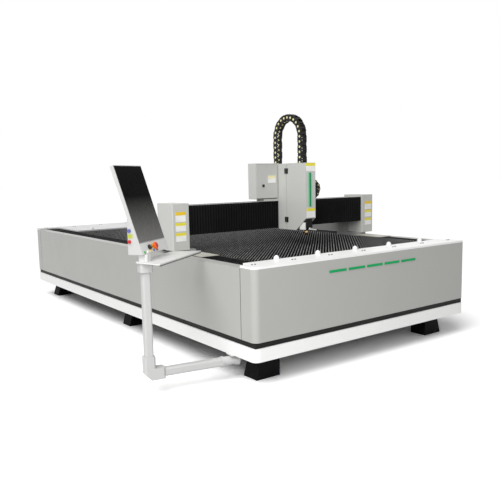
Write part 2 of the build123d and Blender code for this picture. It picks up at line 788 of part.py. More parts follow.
def saddles():
    """Saddle bodies, their legs with long tails under the beam, and the blocks on the rails."""
    pieces = []
    for side in SIDES:
        x_inner = side * SADDLE_INNER
        body = span_box(
            (x_inner, side * SADDLE_OUTER),
            (SADDLE_FRONT, BEAM_BACK),
            (SADDLE_BOTTOM, END_COVER_BOTTOM),
        )
        leg = span_box(
            (x_inner, side * (SADDLE_INNER + LEG_WIDTH)),
            (BEAM_BACK - LEG_LENGTH, BEAM_BACK + LEG_TAIL),
            (END_COVER_BOTTOM, BEAM_BOTTOM),
        )
        bore = Pos(side * PINION_X, PINION_Y, 0) * flatted(
            SHAFT_RADIUS + SEAT_GAP, SADDLE_BOTTOM - CUT_OVERRUN, END_COVER_BOTTOM + CUT_OVERRUN
        )
        pieces.append(body + leg - bore)
        rail_inner = TROUGH_INNER + RAIL_INSET
        starts = (SADDLE_FRONT + BLOCK_END_INSET, BEAM_BACK - BLOCK_END_INSET - BLOCK_LENGTH)
        for start in starts:
            run = (start, start + BLOCK_LENGTH)
            block = span_box(
                (side * (rail_inner - BLOCK_SIDE), side * (rail_inner + RAIL_WIDTH + BLOCK_SIDE)),
                run,
                (RAIL_SEAT + BLOCK_LIFT, SADDLE_BOTTOM),
            )
            slot = span_box(
                (side * (rail_inner - SEAT_GAP), side * (rail_inner + RAIL_WIDTH + SEAT_GAP)),
                (run[0] - CUT_OVERRUN, run[1] + CUT_OVERRUN),
                (RAIL_SEAT, RAIL_SEAT + RAIL_HEIGHT + SEAT_GAP),
            )
            pieces.append(block - slot)
    return pieces


def gantry_beam():
    """A box-section beam between the end covers, on the saddles' legs."""
    x = (-END_COVER_INNER, END_COVER_INNER)
    outer = span_box(x, (BEAM_FRONT, BEAM_BACK), (BEAM_BOTTOM, BEAM_TOP))
    inner = span_box(
        (x[0] - CUT_OVERRUN, x[1] + CUT_OVERRUN),
        (BEAM_FRONT + BEAM_WALL, BEAM_BACK - BEAM_WALL),
        (BEAM_BOTTOM + BEAM_WALL, BEAM_TOP - BEAM_WALL),
    )
    return outer - inner


def beam_rail_levels():
    """The middle heights of the lower and the upper rail on the beam."""
    return (BEAM_BOTTOM + BEAM_RAIL_INSET, BEAM_TOP - BEAM_RAIL_INSET)


def beam_rails():
    """Two rails along the beam's front face."""
    reach = END_COVER_INNER - BEAM_RAIL_END_GAP
    half = BEAM_RAIL_SIZE / 2
    depth = (BEAM_FRONT - BEAM_RAIL_SIZE, BEAM_FRONT)
    return [
        span_box((-reach, reach), depth, (level - half, level + half))
        for level in beam_rail_levels()
    ]


def rail_covers():
    """Flat plates over the rails, in front of the saddles."""
    bottom = PANEL_TOP + RAIL_COVER_LIFT
    inner = TROUGH_INNER + TROUGH_CLEARANCE
    front = GANTRY_FRONT - RAIL_COVER_REACH
    return [
        span_box(
            (side * inner, side * TROUGH_OUTER),
            (front, SADDLE_FRONT),
            (bottom, bottom + RAIL_COVER_THICKNESS),
        )
        for side in SIDES
    ]


def drive_motors():
    """Servo motors on the saddles, inside the end covers."""
    motors = []
    for side in SIDES:
        top = END_COVER_BOTTOM + MOTOR_HEIGHT
        body = span_box(
            (-MOTOR_SIZE / 2, MOTOR_SIZE / 2),
            (-MOTOR_SIZE / 2, MOTOR_SIZE / 2),
            (END_COVER_BOTTOM, top),
        )
        body = chamfer(body.edges().filter_by(Axis.Z), MOTOR_CHAMFER)
        seat = flatted(
            SHAFT_RADIUS + SEAT_GAP,
            END_COVER_BOTTOM - CUT_OVERRUN,
            END_COVER_BOTTOM + MOTOR_BORE_DEPTH,
        )
        motors.append(Pos(side * PINION_X, PINION_Y, 0) * (body - seat))
    return motors


def pinion(side):
    """A pinion at the rack, with the shaft that goes up into its motor."""
    bottom = RAIL_SEAT + PINION_LIFT
    wheel = flatted(PINION_RADIUS, bottom, bottom + PINION_HEIGHT)
    shaft_top = END_COVER_BOTTOM + MOTOR_BORE_DEPTH - SEAT_GAP
    shaft = upright(SHAFT_RADIUS, bottom + PINION_HEIGHT, shaft_top)
    return Pos(side * PINION_X, PINION_Y, 0) * (wheel + shaft)


def beam_bellows():
    """Folded covers in front of the beam, from the end covers to the carriage."""
    level = (BEAM_BOTTOM, BEAM_TOP + BELLOWS_RISE)
    outer = END_COVER_INNER - BELLOWS_END_GAP
    low, high = BELLOWS_FRONT, BELLOWS_FRONT + BEAM_FOLD_DEPTH
    spans = (
        (-outer, Z_COVER_LEFT - BELLOWS_HEAD_GAP),
        (Z_COVER_RIGHT + BELLOWS_HEAD_GAP, outer),
    )
    return [
        prism_z(pleats(start, end, low, high, BEAM_FOLD_PITCH), *level)
        for start, end in spans
    ]


# Cable chains


def chain_link(width, height):
    """One link along local X, from its first pivot: two side plates and two cross bars."""
    reach = LINK_REACH
    shoulder = CHAIN_PITCH * LINK_SHOULDER_SHARE
    half = height / 2
    outline = [
        (-reach, 0),
        (shoulder, -half),
        (CHAIN_PITCH - shoulder, -half),
        (CHAIN_PITCH + reach, 0),
        (CHAIN_PITCH - shoulder, half),
        (shoulder, half),
    ]
    bar_half = CHAIN_PITCH * LINK_BAR_SHARE / 2
    middle = CHAIN_PITCH / 2
    link = None
    for side in SIDES:
        edge = sorted((side * width / 2, side * (width / 2 - CHAIN_PLATE)))
        plate = prism_z(outline, *edge)
        bar = span_box(
            (middle - bar_half, middle + bar_half),
            (side * half, side * (half - CHAIN_BAR)),
            (-width / 2, width / 2),
        )
        link = plate + bar if link is None else link + plate + bar
    return link


def chain_pivots(first_run, radius, links):
    """Pivots along a run in local X, a half turn to local +Y, and a run back."""
    turn = math.pi * radius
    points = []
    for i in range(links + 1):
        s = i * CHAIN_PITCH
        if s <= first_run:
            points.append((s, 0))
        elif s <= first_run + turn:
            angle = (s - first_run) / radius
            points.append((first_run + radius * math.sin(angle), radius * (1 - math.cos(angle))))
        else:
            points.append((first_run - (s - first_run - turn), 2 * radius))
    return points


def chain(plane, width, height, pivots):
    """Links of two widths in turn, so that the side plates overlap round each pivot."""
    narrow = width - 2 * (CHAIN_PLATE + SEAT_GAP)
    kinds = (chain_link(width, height), chain_link(narrow, height))
    links = []
    for i, (start, end) in enumerate(zip(pivots, pivots[1:])):
        heading = math.degrees(math.atan2(end[1] - start[1], end[0] - start[0]))
        links.append(plane.location * Pos(start[0], start[1], 0) * Rot(0, 0, heading) * kinds[i % 2])
    return links


def beam_chain():
    """The chain on the beam's top, which bends back to the carriage."""
    turn = math.pi * BEAM_CHAIN_RADIUS
    last_run = BEAM_CHAIN_BEND_X - Z_COVER_RIGHT - LINK_REACH
    first_run = BEAM_CHAIN_LINKS * CHAIN_PITCH - turn - last_run
    level = BEAM_TOP + BEAM_CHAIN_HEIGHT / 2
    origin = (BEAM_CHAIN_BEND_X - first_run, BEAM_CHAIN_Y, level)
    plane = Plane(origin, x_dir=(1, 0, 0), z_dir=(0, -1, 0))
    pivots = chain_pivots(first_run, BEAM_CHAIN_RADIUS, BEAM_CHAIN_LINKS)
    return chain(plane, BEAM_CHAIN_WIDTH, BEAM_CHAIN_HEIGHT, pivots)


def arch_first_pivot():
    """The height of the arch chain's lowest pivot, over its bracket."""
    return PLATE_TOP + BRACKET_THICKNESS + LINK_REACH


def arch_end():
    """The height of the arch chain's last pivot, inside the cutting-axis cover."""
    first_run = ARCH_CENTRE_Z - arch_first_pivot()
    last_run = ARCH_LINKS * CHAIN_PITCH - math.pi * ARCH_RADIUS - first_run
    return ARCH_CENTRE_Z - last_run


def arch_chain():
    """The chain that stands as an arch from the carriage to the cutting axis."""
    first = arch_first_pivot()
    plane = Plane((ARCH_X, ARCH_BACK_Y, first), x_dir=(0, 0, 1), z_dir=(1, 0, 0))
    pivots = chain_pivots(ARCH_CENTRE_Z - first, ARCH_RADIUS, ARCH_LINKS)
    return chain(plane, ARCH_WIDTH, ARCH_LINK_HEIGHT, pivots)


# Carriage


def carriage_plate():
    """The plate over the beam's rails, its neck between the bellows, and the running blocks."""
    depth = (PLATE_FRONT, PLATE_BACK)
    wide_x = (Z_CENTRE - PLATE_HALF_WIDTH, Z_CENTRE + PLATE_HALF_WIDTH)
    neck_x = (Z_COVER_LEFT, Z_COVER_RIGHT)
    low = (PLATE_BOTTOM, PLATE_SHOULDER)
    plate = span_box(wide_x, depth, low)
    neck_foot = span_box(neck_x, (Z_COVER_BACK, PLATE_FRONT), low)
    neck = span_box(neck_x, (Z_COVER_BACK, PLATE_BACK), (PLATE_SHOULDER, PLATE_TOP))
    guide_x = (Z_CENTRE - GUIDE_WIDTH / 2, Z_CENTRE + GUIDE_WIDTH / 2)
    guide = span_box(guide_x, (GUIDE_FRONT, Z_COVER_BACK), (PLATE_BOTTOM, PLATE_TOP))
    pieces = [plate, neck_foot, neck, guide]
    rail_half = BEAM_RAIL_SIZE / 2 + SEAT_GAP
    for level in beam_rail_levels():
        for side in SIDES:
            edge = Z_CENTRE + side * PLATE_HALF_WIDTH
            block = span_box(
                (edge, edge - side * CARRIAGE_BLOCK_LENGTH),
                (PLATE_BACK, BEAM_FRONT - BLOCK_LIFT),
                (level - CARRIAGE_BLOCK_HEIGHT / 2, level + CARRIAGE_BLOCK_HEIGHT / 2),
            )
            slot = span_box(
                (edge + side * CUT_OVERRUN, edge - side * (CARRIAGE_BLOCK_LENGTH + CUT_OVERRUN)),
                (BEAM_FRONT - BEAM_RAIL_SIZE - SEAT_GAP, BEAM_FRONT),
                (level - rail_half, level + rail_half),
            )
            pieces.append(block - slot)
    return pieces


def chain_bracket():
    """An angle on the carriage: a shelf under the arch chain and a wall for the beam chain."""
    right = Z_COVER_RIGHT
    back = BEAM_CHAIN_Y + BEAM_CHAIN_WIDTH / 2
    shelf = span_box((Z_COVER_LEFT, right), (PLATE_BACK, back), (PLATE_TOP, PLATE_TOP + BRACKET_THICKNESS))
    wall = span_box(
        (right - BRACKET_THICKNESS, right), (PLATE_BACK, back), (PLATE_TOP - BRACKET_DROP, PLATE_TOP)
    )
    return shelf + wall


def carriage_box():
    """A sheet box beside the cutting axis, open at the front behind its door, on a foot."""
    x = (BOX_LEFT, Z_COVER_LEFT)
    y = (BOX_FRONT, BOX_BACK)
    outer = span_box(x, y, (BOX_BOTTOM, BOX_TOP))
    outer += span_box((x[1] - BOX_FOOT_WIDTH, x[1]), y, (BEAM_TOP + BOX_FOOT_LIFT, BOX_BOTTOM))
    inner = span_box(
        (x[0] + BOX_FRAME, x[1] - BOX_FRAME),
        (BOX_FRONT - CUT_OVERRUN, BOX_BACK - SHEET),
        (BOX_BOTTOM + BOX_FRAME, BOX_TOP - BOX_FRAME),
    )
    return outer - inner


def carriage_door():
    """The flap door of the rear box, with the roll it hangs on and a bore for its lock."""
    door = span_box(
        (DOOR_LEFT, DOOR_RIGHT),
        (DOOR_FRONT, DOOR_BACK),
        (BOX_BOTTOM + DOOR_SILL, DOOR_TOP),
    )
    roll = Rot(0, 90, 0) * upright(DOOR_ROLL_RADIUS, DOOR_LEFT, DOOR_RIGHT)
    door += Pos(0, DOOR_FRONT, DOOR_TOP) * roll
    bore = flatted(LOCK_STEM_RADIUS + SEAT_GAP, -DOOR_THICKNESS - CUT_OVERRUN, CUT_OVERRUN)
    return door - lock_place() * bore


def lock_place():
    """The lock's place on the door's front, as a frame with local Z out of it."""
    return Plane((LOCK_X, DOOR_FRONT, LOCK_Z), x_dir=(1, 0, 0), z_dir=(0, -1, 0)).location


def door_lock():
    """A round quarter-turn lock with a coin slot."""
    lock = flatted(LOCK_RADIUS, SEAT_GAP, LOCK_HEIGHT)
    lock += upright(LOCK_STEM_RADIUS, -DOOR_THICKNESS, SEAT_GAP)
    slot = span_box(
        (-LOCK_RADIUS, LOCK_RADIUS),
        (-LOCK_SLOT_WIDTH / 2, LOCK_SLOT_WIDTH / 2),
        (LOCK_HEIGHT - LOCK_SLOT_DEPTH, LOCK_HEIGHT + CUT_OVERRUN),
    )
    return lock_place() * (lock - slot)


def z_side_outline():
    """The side view of the cutting-axis cover, with its lower front corner cut off."""
    return [
        (Z_COVER_BACK, Z_COVER_BOTTOM),
        (Z_COVER_FRONT + Z_CHAMFER_DEPTH, Z_COVER_BOTTOM),
        (Z_COVER_FRONT, Z_COVER_BOTTOM + Z_CHAMFER_RISE),
        (Z_COVER_FRONT, Z_COVER_TOP),
        (Z_COVER_BACK, Z_COVER_TOP),
    ]


def z_shell():
    """The whole cover as a thin shell, open at its back and bottom."""
    outer = prism_x(z_side_outline(), Z_COVER_LEFT, Z_COVER_RIGHT)
    inner = span_box(
        (Z_COVER_LEFT + SHEET, Z_COVER_RIGHT - SHEET),
        (Z_COVER_FRONT + SHEET, Z_COVER_BACK + CUT_OVERRUN),
        (Z_COVER_BOTTOM - CUT_OVERRUN, Z_COVER_TOP - SHEET),
    )
    return outer - inner


def z_door_space(gap):
    """The space of the door, wider by the gap: the front and the front part of the left wall."""
    top = Z_COVER_TOP - SHEET - SEAT_GAP + gap
    below = Z_COVER_BOTTOM - CUT_OVERRUN
    front = Z_COVER_FRONT - CUT_OVERRUN
    left = Z_COVER_LEFT - CUT_OVERRUN
    wall = span_box((left, Z_COVER_LEFT + SHEET + gap), (front, Z_COVER_SEAM + gap), (below, top))
    face = span_box(
        (left, Z_COVER_RIGHT + CUT_OVERRUN), (front, Z_COVER_FRONT + SHEET + gap), (below, top)
    )
    return wall + face


def z_cover():
    """The fixed part of the cover: right wall, top and rear left wall, with a slot for the chain."""
    half_x = ARCH_WIDTH / 2 + Z_SLOT_GAP
    half_y = ARCH_LINK_HEIGHT / 2 + Z_SLOT_GAP
    slot = span_box(
        (ARCH_X - half_x, ARCH_X + half_x),
        (ARCH_FRONT_Y - half_y, ARCH_FRONT_Y + half_y),
        (Z_COVER_TOP - SHEET - CUT_OVERRUN, Z_COVER_TOP + CUT_OVERRUN),
    )
    return z_shell() - z_door_space(SEAT_GAP) - slot


def z_door():
    """The hinged part of the cover: its front and the front part of its left wall."""
    return z_shell() & z_door_space(0)


def door_hinges():
    """Two hinges on the left wall: a knuckle at the seam and a leaf on the fixed part."""
    axis_x = Z_COVER_LEFT - HINGE_OFFSET
    hinges = []
    for level in (Z_COVER_BOTTOM + HINGE_LOW_INSET, Z_COVER_TOP - HINGE_HIGH_INSET):
        reach = (level - HINGE_HEIGHT / 2, level + HINGE_HEIGHT / 2)
        knuckle = Pos(axis_x, Z_COVER_SEAM, 0) * upright(HINGE_RADIUS, *reach)
        leaf = span_box(
            (axis_x, Z_COVER_LEFT), (Z_COVER_SEAM, Z_COVER_SEAM + HINGE_LEAF), reach
        )
        hinges.append(knuckle + leaf)
    return hinges


# Cutting head


def head_slide():
    """The slide on the carriage's guide, its arm to the head and its seat for the arch chain."""
    x = (Z_CENTRE - SLIDE_WIDTH / 2, Z_CENTRE + SLIDE_WIDTH / 2)
    back = GUIDE_FRONT - SEAT_GAP
    front = back - SLIDE_THICKNESS
    chain_seat = arch_end() - LINK_REACH
    slide = span_box(x, (front, back), (SLIDE_BOTTOM, chain_seat))
    arm_top = HEAD_ARM_BOTTOM + HEAD_ARM_HEIGHT
    slide += span_box(x, (HEAD_BACK, front), (HEAD_ARM_BOTTOM, arm_top))
    seat_front = ARCH_FRONT_Y - ARCH_LINK_HEIGHT / 2
    slide += span_box(x, (seat_front, front), (chain_seat - CHAIN_SEAT_THICKNESS, chain_seat))
    return slide


def head_axis():
    """The cutting beam's axis, as a place on the floor plan."""
    return Pos(Z_CENTRE, (HEAD_FRONT + HEAD_BACK) / 2, 0)


def laser_head():
    """The cutting head: a square body, a round collar and a cone."""
    half = HEAD_WIDTH / 2
    body = span_box((Z_CENTRE - half, Z_CENTRE + half), (HEAD_FRONT, HEAD_BACK), (HEAD_BOTTOM, HEAD_TOP))
    body = chamfer(body.edges().filter_by(Axis.Z), COVER_EDGE)
    collar_bottom = HEAD_BOTTOM - COLLAR_HEIGHT
    collar = flatted(COLLAR_RADIUS, collar_bottom, HEAD_BOTTOM)
    cone = hung(collar_bottom, tapered(COLLAR_RADIUS, CONE_TIP_RADIUS, CONE_HEIGHT))
    return body + head_axis() * (collar + cone)


def nozzle():
    """The nozzle under the cone: a ring and a tapered tip."""
    top = HEAD_BOTTOM - COLLAR_HEIGHT - CONE_HEIGHT
    ring_bottom = top - NOZZLE_RING_HEIGHT
    ring = flatted(NOZZLE_RADIUS, ring_bottom, top)
    tip_height = NOZZLE_HEIGHT - NOZZLE_RING_HEIGHT
    tip = hung(ring_bottom, tapered(NOZZLE_RADIUS, NOZZLE_TIP_RADIUS, tip_height))
    return head_axis() * (ring + tip)


# Console support


def arm_frame():
    """The frame of the arm: local X along the arm, from the column to the bed."""
    return Pos(COLUMN_X, COLUMN_Y, 0) * Rot(0, 0, ARM_YAW)


def along_arm(radius, start, end):
    """A round length of the arm between two distances from the column."""
    return Pos(start, 0, ARM_LEVEL) * Rot(0, 90, 0) * flatted(radius, 0, end - start)


def console_arm():
    """The arm: a square tube, then a round socket between two rings."""
    tube = Pos(ELBOW_REACH, 0, ARM_LEVEL) * Rot(0, 90, 0) * soft_post(
        COLUMN_SIZE, COLUMN_CORNER, 0, ARM_RING_NEAR - ELBOW_REACH
    )
    far = ARM_RING_FAR + ARM_RING_WIDTH
    rings = along_arm(ARM_RING_RADIUS, ARM_RING_NEAR, ARM_RING_NEAR + ARM_RING_WIDTH)
    rings += along_arm(ARM_SOCKET_RADIUS, ARM_RING_NEAR + ARM_RING_WIDTH, ARM_RING_FAR)
    rings += along_arm(ARM_RING_RADIUS, ARM_RING_FAR, far)
    return arm_frame() * (tube + rings)


def arm_bracket():
    """A flange at the arm's end, hung from a plate under the base frame."""
    start = ARM_RING_FAR + ARM_RING_WIDTH
    flange = along_arm(BRACKET_FLANGE_RADIUS, start, start + BRACKET_PLATE)
    web = span_box(
        (start, start + BRACKET_PLATE),
        (-BRACKET_FLANGE_RADIUS, BRACKET_FLANGE_RADIUS),
        (ARM_LEVEL, FOOT_HEIGHT),
    )
    foot = span_box(
        (start + BRACKET_PLATE - BRACKET_FOOT_LENGTH, start + BRACKET_PLATE),
        (-BRACKET_FOOT_WIDTH / 2, BRACKET_FOOT_WIDTH / 2),
        (ARM_LEVEL + ARM_RING_RADIUS + SEAT_GAP, FOOT_HEIGHT),
    )
    return arm_frame() * (flange + web + foot)


def console_elbow():
    """The elbow between arm and column, with its outer corner cut off."""
    half = ELBOW_SIZE / 2
    bottom = ARM_LEVEL - half
    outline = [
        (-half, bottom + ELBOW_HEIGHT),
        (half, bottom + ELBOW_HEIGHT),
        (half, bottom + ELBOW_SIZE),
        (ELBOW_REACH, bottom + ELBOW_SIZE),
        (ELBOW_REACH, bottom),
        (ELBOW_CHAMFER - half, bottom),
        (-half, bottom + ELBOW_CHAMFER),
    ]
    elbow = prism_y(outline, -half, half)
    elbow = chamfer(elbow.edges().filter_by(Axis.Z), ELBOW_CORNER)
    return arm_frame() * elbow


def console_column():
    """The column and the collar that the console turns on."""
    bottom = ARM_LEVEL - ELBOW_SIZE / 2 + ELBOW_HEIGHT
    collar_bottom = COLUMN_TOP - COLLAR_DEPTH
    column = soft_post(COLUMN_SIZE, COLUMN_CORNER, bottom, collar_bottom)
    column += soft_post(COLLAR_SIZE, COLUMN_CORNER, collar_bottom, COLUMN_TOP)
    column -= upright(SPIGOT_RADIUS + SEAT_GAP, COLUMN_TOP - SPIGOT_DEPTH, COLUMN_TOP + CUT_OVERRUN)
    return arm_frame() * column


# Console


def console_frame():
    """The frame of the console at rest."""
    return Pos(COLUMN_X, COLUMN_Y, 0) * Rot(0, 0, CONSOLE_YAW)


def console_tray():
    """The shelf in front of the screen, wider towards the operator, on its turning spigot."""
    outline = [
        (TRAY_FRONT_LEFT, -TRAY_FRONT),
        (TRAY_FRONT_RIGHT, -TRAY_FRONT),
        (TRAY_BACK_RIGHT, TRAY_BACK),
        (TRAY_BACK_LEFT, TRAY_BACK),
    ]
    tray = prism_z(outline, TRAY_TOP - TRAY_THICKNESS, TRAY_TOP)
    tray = chamfer(tray.edges().filter_by(Axis.Z), TRAY_CORNER)
    spigot_bottom = COLUMN_TOP - SPIGOT_DEPTH + SEAT_GAP
    tray += upright(SPIGOT_RADIUS, spigot_bottom, TRAY_TOP - TRAY_THICKNESS)
    return console_frame() * tray


def console_neck():
    """The post between the tray and the control box."""
    return console_frame() * soft_post(NECK_SIZE, COLUMN_CORNER, TRAY_TOP, CASE_BOTTOM)


def screen_point(along, behind):
    """A point of the console's side view, from the screen's lower front edge."""
    tilt = math.radians(SCREEN_TILT)
    y = along * math.sin(tilt) + behind * math.cos(tilt)
    z = SCREEN_BOTTOM + along * math.cos(tilt) - behind * math.sin(tilt)
    return (y, z)


def screen_slab(low, high, start, end, left, right):
    """A slab in the screen's plane: along its length, behind its face and across it."""
    outline = [
        screen_point(low, start),
        screen_point(high, start),
        screen_point(high, end),
        screen_point(low, end),
    ]
    return console_frame() * prism_x(outline, left, right)


def monitor_case():
    """The thin case of the screen."""
    return screen_slab(0, SCREEN_HEIGHT, GLASS_THICKNESS, MONITOR_THICKNESS, CASE_LEFT, CASE_RIGHT)


def screen_glass():
    """The screen's glass on the front of its case."""
    return screen_slab(
        GLASS_MARGIN,
        SCREEN_HEIGHT - GLASS_MARGIN,
        0,
        GLASS_THICKNESS,
        CASE_LEFT + GLASS_MARGIN,
        CASE_RIGHT - GLASS_MARGIN,
    )


def strip_frame():
    """The control strip under the screen: local X across, Y up the strip, Z out of it."""
    top_y, top_z = screen_point(0, GLASS_THICKNESS)
    rise = (0, top_y + CASE_FRONT, top_z - CASE_BOTTOM)
    outward = (0, -rise[2], rise[1])
    return Plane((0, -CASE_FRONT, CASE_BOTTOM), x_dir=(1, 0, 0), z_dir=outward).location


def strip_length():
    """The height of the control strip, measured along it."""
    top_y, top_z = screen_point(0, GLASS_THICKNESS)
    return math.hypot(top_y + CASE_FRONT, top_z - CASE_BOTTOM)


def strip_place(x, share):
    """A place on the control strip, as a frame with local Z out of it."""
    return strip_frame() * Pos(x, strip_length() * share, 0)


def side_place(name):
    """A button's place on the control box's left wall, as a frame with local Z out of it."""
    y = CASE_BACK - SIDE_BUTTON_INSET
    z = CASE_BOTTOM + SIDE_BUTTON_LIFTS[name]
    return Plane((CASE_LEFT, y, z), x_dir=(0, -1, 0), z_dir=(-1, 0, 0)).location


def button_places():
    """The frames of the small buttons along the strip."""
    return [
        strip_place(BUTTON_FIRST + i * BUTTON_PITCH, LOWER_ROW_SHARE) for i in range(BUTTON_COUNT)
    ]


def console_box():
    """The wedge-shaped control box under the screen, with a bore for each control."""
    back_wall_top = screen_point(
        (CASE_BACK - screen_point(0, MONITOR_THICKNESS)[0]) / math.sin(math.radians(SCREEN_TILT)),
        MONITOR_THICKNESS,
    )
    outline = [
        (CASE_BACK, CASE_BOTTOM),
        (-CASE_FRONT, CASE_BOTTOM),
        screen_point(0, GLASS_THICKNESS),
        screen_point(0, MONITOR_THICKNESS),
        back_wall_top,
    ]
    case = prism_x(outline, CASE_LEFT, CASE_RIGHT)
    round_bores = (
        (strip_place(KNOB_X, UPPER_ROW_SHARE), KNOB_STEM_RADIUS, 0),
        (strip_place(ESTOP_X, UPPER_ROW_SHARE), ESTOP_STEM_RADIUS, ESTOP_TRAVEL),
    )
    for place, radius, travel in round_bores:
        case -= place * flatted(radius + SEAT_GAP, -STEM_DEPTH - travel - SEAT_GAP, CUT_OVERRUN)
    for name in SIDE_BUTTON_LIFTS:
        depth = STEM_DEPTH + SIDE_BUTTON_TRAVEL + SEAT_GAP
        case -= side_place(name) * flatted(SIDE_BUTTON_RADIUS + SEAT_GAP, -depth, CUT_OVERRUN)
    half = BUTTON_SIZE / 2 + SEAT_GAP
    pocket = span_box(
        (-half, half), (-half, half), (-STEM_DEPTH - BUTTON_TRAVEL - SEAT_GAP, CUT_OVERRUN)
    )
    for place in button_places():
        case -= place * pocket
    return console_frame() * case


def control_knob():
    """A turning selector knob on its stem."""
    knob = flatted(KNOB_RADIUS, SEAT_GAP, KNOB_HEIGHT)
    knob += upright(KNOB_STEM_RADIUS, -STEM_DEPTH, SEAT_GAP)
    return console_frame() * strip_place(KNOB_X, UPPER_ROW_SHARE) * knob


def estop_button():
    """A mushroom-headed stop button."""
    top = ESTOP_STAND + ESTOP_HEAD
    head = flatted(ESTOP_RADIUS, ESTOP_STAND, top - ESTOP_CHAMFER)
    crown = tapered(ESTOP_RADIUS, ESTOP_RADIUS - ESTOP_CHAMFER, ESTOP_CHAMFER)
    head += Pos(0, 0, top - ESTOP_CHAMFER) * crown
    head += flatted(ESTOP_STEM_RADIUS, -STEM_DEPTH, ESTOP_STAND)
    return console_frame() * strip_place(ESTOP_X, UPPER_ROW_SHARE) * head


def panel_button(i):
    """One small square push button of the lower row."""
    half = BUTTON_SIZE / 2
    button = span_box((-half, half), (-half, half), (-STEM_DEPTH, BUTTON_STAND))
    button = chamfer(button.edges().group_by(Axis.Z)[-1], BUTTON_CHAMFER)
    return console_frame() * button_places()[i] * button


def side_button(name):
    """One round push button on the control box's left wall."""
    button = flatted(SIDE_BUTTON_RADIUS, -STEM_DEPTH, SIDE_BUTTON_STAND)
    return console_frame() * side_place(name) * button


# The whole machine


def build():
    """Every node by name, in the bed's own frame."""
    nodes = {
        "base_frame": base_frame(),
        "main_frame": main_frame(),
        "feet": feet(),
        "side_panel_left": side_panel(LEFT),
        "side_panel_right": side_panel(RIGHT),
        "front_panel": end_panel(FRONT),
        "back_panel": end_panel(BACK),
        "top_rims": top_rims(),
        "front_flange": end_plate(FRONT, FRONT_FLANGE_DEPTH, TROUGH_OUTER),
        "back_cover": end_plate(BACK, BACK_COVER_DEPTH, TROUGH_INNER),
        "flange_bolts": flange_bolts(),
        "glide_studs": glide_studs(),
        "light_strips": light_strips(),
        "slats": slats(),
        "slat_combs": slat_combs(),
        "scrap_tray": scrap_tray(),
        "y_rails": y_rails(),
        "y_racks": y_racks(),
        "trough_bellows_front": trough_bellows(FIELD_FRONT, SADDLE_FRONT - SEAT_GAP),
        "trough_bellows_rear": trough_bellows(BEAM_BACK + SEAT_GAP, HALF_LENGTH - WRAP_LENGTH),
        "arm_bracket": arm_bracket(),
        "console_arm": console_arm(),
        "console_elbow": console_elbow(),
        "console_column": console_column(),
        "gantry_beam": gantry_beam(),
        "saddles": saddles(),
        "end_cover_left": end_cover(LEFT),
        "end_cover_right": end_cover(RIGHT),
        "rail_covers": rail_covers(),
        "beam_rails": beam_rails(),
        "drive_motors": drive_motors(),
        "pinion_left": pinion(LEFT),
        "pinion_right": pinion(RIGHT),
        "beam_bellows": beam_bellows(),
        "beam_chain": beam_chain(),
        "carriage_plate": carriage_plate(),
        "chain_bracket": chain_bracket(),
        "carriage_box": carriage_box(),
        "carriage_door": carriage_door(),
        "door_lock": door_lock(),
        "z_cover": z_cover(),
        "z_door": z_door(),
        "door_hinges": door_hinges(),
        "arch_chain": arch_chain(),
        "head_slide": head_slide(),
        "laser_head": laser_head(),
        "nozzle": nozzle(),
        "console_tray": [console_tray(), console_neck()],
        "console_box": console_box(),
        "monitor_case": monitor_case(),
        "screen_glass": screen_glass(),
        "control_knob": control_knob(),
        "estop_button": estop_button(),
    }
    for i in range(BUTTON_COUNT):
        nodes[f"panel_button_{i + 1}"] = panel_button(i)
    for name in SIDE_BUTTON_LIFTS:
        nodes[name] = side_button(name)
    return {name: part if isinstance(part, list) else [part] for name, part in nodes.items()}


def footprint_shift(nodes):
    """The move that puts the origin at the middle of the machine's footprint, on the floor."""
    solids = [solid for parts in nodes.values() for part in parts for solid in part.solids()]
    box = Compound(solids).bounding_box(optimal=True)
    return Pos(-(box.min.X + box.max.X) / 2, -(box.min.Y + box.max.Y) / 2, -box.min.Z)


def main():
    nodes = build()
    shift = footprint_shift(nodes)
    os.makedirs("parts", exist_ok=True)
    for name, parts in nodes.items():
        solids = [solid for part in parts for solid in part.solids()]
        export_step(shift * Compound(solids), f"parts/{name}.step")


if __name__ == "__main__":
    main()
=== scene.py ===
import math

import bpy
import bmesh
from mathutils import Matrix, Vector


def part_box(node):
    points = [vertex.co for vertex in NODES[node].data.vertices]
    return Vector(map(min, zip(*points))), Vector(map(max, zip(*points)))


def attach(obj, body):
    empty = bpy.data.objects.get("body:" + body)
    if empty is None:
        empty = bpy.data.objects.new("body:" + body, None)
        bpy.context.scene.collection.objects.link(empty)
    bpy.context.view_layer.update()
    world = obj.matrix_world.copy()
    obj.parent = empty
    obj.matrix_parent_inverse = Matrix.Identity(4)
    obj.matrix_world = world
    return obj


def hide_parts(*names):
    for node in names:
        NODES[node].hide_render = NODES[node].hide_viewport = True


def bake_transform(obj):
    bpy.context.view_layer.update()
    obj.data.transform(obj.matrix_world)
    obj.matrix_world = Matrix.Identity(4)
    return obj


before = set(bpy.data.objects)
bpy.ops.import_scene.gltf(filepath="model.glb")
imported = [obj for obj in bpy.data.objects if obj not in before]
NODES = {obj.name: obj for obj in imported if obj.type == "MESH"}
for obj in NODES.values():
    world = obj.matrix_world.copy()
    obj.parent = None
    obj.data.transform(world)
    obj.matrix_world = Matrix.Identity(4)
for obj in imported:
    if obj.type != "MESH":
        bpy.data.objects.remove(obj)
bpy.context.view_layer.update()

# The bed's own frame: millimetres from the bed's middle, with the floor at Z = 0
MM = 0.001
BASE_LOW, BASE_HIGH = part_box("base_frame")
BED_X = (BASE_LOW[0] + BASE_HIGH[0]) / 2
BED_Y = (BASE_LOW[1] + BASE_HIGH[1]) / 2


def at(x, y, z):
    """A point of the bed's frame, in metres in the part's frame."""
    return Vector((BED_X + x * MM, BED_Y + y * MM, z * MM))


